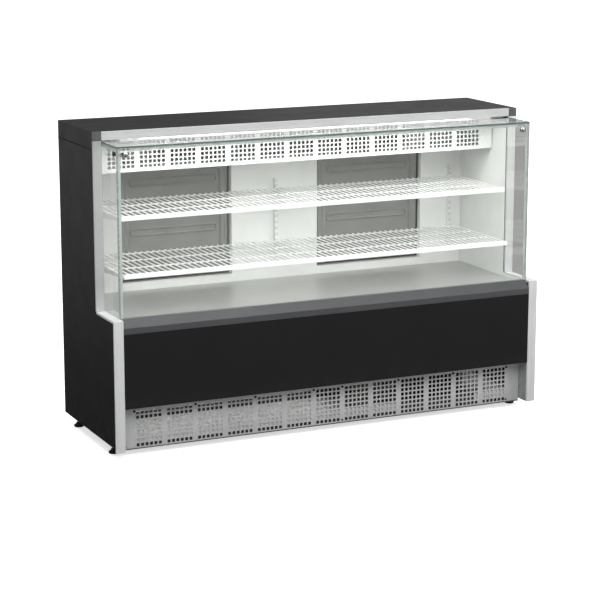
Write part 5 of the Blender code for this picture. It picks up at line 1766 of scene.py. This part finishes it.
def thermostat_knob():
    """A knob with a knurled skirt and a pointer line."""
    low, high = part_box("thermostat_knob")
    centre = (low + high) / 2
    radius = 0.020
    face = high.y - 0.0015
    base = face - 0.018
    bm = bmesh.new()
    flutes = 30
    steps = flutes * 4
    levels = [(0.0, 1.0, 0.0), (0.002, 1.0, 0.0), (0.0035, 0.95, 1.0), (0.0135, 0.90, 1.0)]
    levels += [(0.0165, 0.84, 0.2), (0.018, 0.76, 0.0)]
    rings = []
    for height, share, knurl in levels:
        ring = []
        for i in range(steps):
            angle = math.tau * i / steps
            wave = 1 - 0.035 * knurl * (0.5 + 0.5 * math.cos(flutes * angle))
            r = radius * share * wave
            point = Vector((r * math.cos(angle), 0, r * math.sin(angle)))
            ring.append(bm.verts.new(Vector((centre.x, base + height, centre.z)) + point))
        rings.append(ring)
    join_all(bm, rings)
    bm.faces.new(rings[0])
    bm.faces.new(rings[-1])
    piece(
        "thermostat_knob_body", bm, MACHINE_BLACK,
        "thermostat_knob", ("thermostat_knob",), sharp=50,
    )
    box_piece(
        "thermostat_knob_pointer", (centre.x - 0.0008, face - 0.001, centre.z + 0.003),
        (centre.x + 0.0008, face + 0.0006, centre.z + 0.0150), 0.0003,
        WHITE_PLASTIC, "thermostat_knob",
    )


def controls():
    control_plate()
    thermostat_knob()
    dress("light_switch", SWITCH_BLACK, 0.0008)
    power_inlet()


def power_inlet():
    """A recessed inlet with three blades, in a screwed flange."""
    low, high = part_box("power_inlet")
    sheet_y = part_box("machine_back_panel")[0].y + SHEET
    bm = bmesh.new()
    wall = 0.0085
    profile = [(0.0, sheet_y + 0.0002), (0.0, sheet_y + 0.0020), (0.0012, sheet_y + 0.0032)]
    profile += [(wall - 0.001, sheet_y + 0.0042), (wall, sheet_y + 0.0036), (wall, low.y + 0.002)]
    profile += [(0.0064, low.y + 0.002), (0.0064, sheet_y + 0.0002)]
    add_rim(bm, (low.x, low.z), (high.x, high.z), profile)
    back_low = (low.x + 0.0064, low.y, low.z + 0.0064)
    add_box(bm, back_low, (high.x - 0.0064, low.y + 0.0021, high.z - 0.0064))
    piece(
        "power_inlet_housing", bm, MACHINE_BLACK, stands_for=("power_inlet",)
    )
    bm = bmesh.new()
    middle = (low + high) / 2
    for offset, rise in ((-0.007, -0.002), (0.0, 0.003), (0.007, -0.002)):
        spot = (middle.x + offset, middle.z + rise)
        add_box(
            bm, (spot[0] - 0.001, low.y + 0.001, spot[1] - 0.002),
            (spot[0] + 0.001, sheet_y, spot[1] + 0.002), 0.0003,
        )
    piece("power_inlet_blades", bm, CHROME)
    bm = bmesh.new()
    for x in (low.x + 0.0032, high.x - 0.0032):
        add_screw(bm, (x, sheet_y + 0.0034, middle.z), Y_AXIS, 0.0022, x)
    piece("power_inlet_screws", bm, ZINC)


def levelling_foot(row, word):
    """A ribbed pad on a threaded stem, with a hexagonal lock nut."""
    node = f"foot_{row}_{word}"
    low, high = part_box(node)
    centre = (low + high) / 2
    place = Vector((centre.x, centre.y, low.z))
    nut_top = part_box("side_panel_left")[0].z - 0.0004
    pad = (high.x - low.x) / 2
    bm = bmesh.new()
    profile = [(0, 0), (pad - 0.0016, 0), (pad, 0.0016), (pad, 0.0075), (pad - 0.0012, 0.0092)]
    profile += [(0.012, 0.0125), (0.0105, 0.0145), (0.0100, 0.0185), (0, 0.0185)]
    add_turned(bm, profile, place, Z_AXIS, 40)
    ribs = 24
    for i in range(ribs):
        angle = math.tau * i / ribs
        out = Vector((math.cos(angle), math.sin(angle), 0))
        start = place + out * (pad - 0.0006) + Z_AXIS * 0.0020
        end = place + out * (pad - 0.0006) + Z_AXIS * 0.0074
        add_tube(bm, (start, end), 0.0009, 6)
    piece(f"{node}_pad", bm, PLASTIC_BLACK, node, (node,))
    bm = bmesh.new()
    pitch = 0.0015
    count = int((high.z - low.z - 0.0185) / pitch)
    profile = [(0, 0.0180)]
    for i in range(count):
        z = 0.0185 + i * pitch
        profile += [(0.0042, z), (0.0050, z + pitch / 2)]
    profile.append((0.0042, high.z - low.z - 0.001))
    profile.append((0, high.z - low.z))
    add_turned(bm, profile, place, Z_AXIS, 20)
    nut = nut_top - low.z
    hexagon = [(0, nut - 0.008), (0.0082, nut - 0.008), (0.0090, nut - 0.0072)]
    hexagon += [(0.0090, nut - 0.0008), (0.0082, nut), (0, nut)]
    add_turned(bm, hexagon, place, Z_AXIS, 6)
    piece(f"{node}_stem", bm, ZINC, node, sharp=25)


def feet():
    for row in ("front", "rear"):
        for word, _ in SIDES:
            levelling_foot(row, word)


# Studio ---------------------------------------------------------------------------------


def studio_floor():
    bm = bmesh.new()
    bmesh.ops.create_grid(bm, x_segments=8, y_segments=8, size=FLOOR_SIZE / 2)
    mesh = bpy.data.meshes.new("studio_floor")
    bm.to_mesh(mesh)
    bm.free()
    floor = bpy.data.objects.new("studio_floor", mesh)
    bpy.context.scene.collection.objects.link(floor)
    mesh.materials.append(white_floor())


def studio_world():
    world = bpy.data.worlds.new("studio")
    bpy.context.scene.world = world
    world.use_nodes = True
    tree = world.node_tree
    rays = tree.nodes.new("ShaderNodeLightPath")
    last = tree.nodes["Background"]
    last.inputs["Strength"].default_value = WORLD_DIFFUSE
    last = last.outputs[0]
    for ray, strength in (
        ("Is Glossy Ray", WORLD_GLOSSY),
        ("Is Transmission Ray", BEHIND_GLASS),
        ("Is Camera Ray", 1.0),
    ):
        light = tree.nodes.new("ShaderNodeBackground")
        light.inputs["Color"].default_value = (1.0, 1.0, 1.0, 1.0)
        light.inputs["Strength"].default_value = strength
        mix = tree.nodes.new("ShaderNodeMixShader")
        tree.links.new(rays.outputs[ray], mix.inputs[0])
        tree.links.new(last, mix.inputs[1])
        tree.links.new(light.outputs[0], mix.inputs[2])
        last = mix.outputs[0]
    tree.nodes["Background"].inputs["Color"].default_value = (1.0, 1.0, 1.0, 1.0)
    tree.links.new(last, tree.nodes["World Output"].inputs["Surface"])


def soft_light(name, place, aim, size, power, size_y=None):
    data = bpy.data.lights.new(name, "AREA")
    data.energy = power
    data.size = size
    if size_y:
        data.shape = "RECTANGLE"
        data.size_y = size_y
    light = bpy.data.objects.new(name, data)
    bpy.context.scene.collection.objects.link(light)
    light.location = place
    direction = Vector(aim) - Vector(place)
    light.rotation_euler = direction.to_track_quat("-Z", "Y").to_euler()
    light.visible_camera = False
    return light


def studio_lights():
    soft_light("key", (-2.2, -5.2, 5.2), (0, 0, 0.5), 4.0, 345)
    soft_light("fill", (4.5, -4.5, 3.4), (0, 0, 0.6), 3.5, 165)
    edge = soft_light("left_top", (-1.75, 0.0, 1.95), (-0.9, 0, 1.15), 0.5, 5)
    soft_light("overhead", (0.8, 0.4, 5.5), (0, 0, 0), 4.5, 190)
    soft_light("rear_sheen", (4.4, 6.2, 2.8), (0, 0, 0.6), 3.6, 14)
    rear = soft_light("rear", (0.0, 6.5, 3.4), (0, 0, 0.6), 4.0, 110)
    lamp_low, lamp_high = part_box("led_lamp")
    lamp_y = (lamp_low.y + lamp_high.y) / 2
    lamp_z = lamp_low.z - 0.004
    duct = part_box("air_duct_panel")
    inside = [
        soft_light("case_lamp", (0, lamp_y, lamp_z), (0, lamp_y + 0.14, 0.5), 1.40, 2.0, 0.02),
        soft_light(
            "case_fill", (0, duct[1].y + 0.03, duct[0].z - 0.006), (0, 0.16, 0), 1.5, 0.46, 0.04
        ),
    ]
    spot_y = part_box("base_pan")[0].y + MACHINE_LIGHT_BACK
    for name, x, size, power in MACHINE_LIGHTS:
        place = (x, spot_y, MACHINE_LIGHT_HEIGHT)
        light = soft_light(name, place, (x, spot_y, 0), size, power, MACHINE_LIGHT_WIDTH)
        light.data.spread = math.radians(MACHINE_LIGHT_SPREAD)
        inside.append(light)
    for light in inside + [edge, rear]:
        light.visible_glossy = False


def camera():
    data = bpy.data.cameras.new("camera")
    data.lens = CAMERA_LENS
    data.sensor_width = 36.0
    data.clip_end = 200.0
    made = bpy.data.objects.new("camera", data)
    bpy.context.scene.collection.objects.link(made)
    made.location = CAMERA_PLACE
    pitch = math.radians(90 - CAMERA_PITCH)
    made.rotation_euler = (pitch, 0, -math.radians(CAMERA_YAW))
    bpy.context.scene.camera = made


BLACK = black_enamel()
WHITE = white_enamel()
# The greyer copy of the white enamel for the inner walls: painted shade.
SHADED_WALL = shaded_wall_enamel()
ALUMINIUM_UPRIGHT = aluminium_upright()
ALUMINIUM_SHADED = aluminium_shaded()
ALUMINIUM_LEVEL = aluminium_level()
GREY_PLASTIC = moulded_plastic("grey_plastic_finish", (0.125, 0.128, 0.135), 0.50)
CAP_PLASTIC = moulded_plastic("strip_cap_plastic", (0.082, 0.084, 0.088), 0.50)
WHITE_PLASTIC = moulded_plastic("white_plastic_finish", (0.74, 0.745, 0.73), 0.42)
PLASTIC_BLACK = moulded_plastic("black_plastic_finish", (0.020, 0.020, 0.021), 0.50)
DOOR_FRAME = moulded_plastic("door_frame_finish", (0.016, 0.016, 0.017), 0.46)
SWITCH_BLACK = moulded_plastic("switch_finish", (0.030, 0.030, 0.032), 0.38)
GLOSS_BLACK = moulded_plastic("button_finish", (0.012, 0.012, 0.013), 0.22)
SILL = sill_profile()
GRILLE = grille_steel()
PAN = pan_steel()
DECK = deck_steel()
LINER = door_liner()
FOAM = insulation()
GLASS = clear_glass()
GLASS_EDGE = glass_edge()
GLASS_CORNER = glass_corner()
SEAL = clear_seal()
CHROME = polished_chrome()
RUBBER = black_rubber()
# Matte black for the roof joint strips: painted shadow.
GAP_SHADOW = moulded_plastic("roof_seam_finish", (0.005, 0.005, 0.005), 0.85)
# Dark grey for the strip under the grille's bottom fold: painted shadow.
FOLD_SHADOW = moulded_plastic("grille_fold_shadow_paint", (0.075, 0.076, 0.078), 0.55)
# Grey patches in place of open slots: painted shade.
SLOT_SHADE = moulded_plastic("slot_shade_finish", (0.40, 0.405, 0.40), 0.60)
GREY_RUBBER = grey_rubber()
OPAL = lamp_diffuser()
FINS = fin_aluminium()
MACHINE_BLACK = machine_black()
ZINC = zinc_steel()
COPPER = copper()

bpy.context.scene.view_settings.view_transform = "Standard"
camera()
studio_floor()
studio_world()
studio_lights()
cabinet_shell()
inner_edge_seals()
machine_side_plates()
pan_apron()
machine_cover_seal()
shade_rail()
roof_gap_shadows()
roof_screws()
air_duct_panel()
front_grille()
evaporator()
fans()
condenser()
compressor()
refrigerant_pipes()
drain()
machine_base_plate()
glass_box()
corner_seals()
joint_strip()
glass_clamps()
shelves()
led_lamp()
for word, side in SIDES:
    moulded_liner(word, side)
    gasket(word)
    rear_door(word, side)
door_hinges()
back_cover()
controls()
feet()
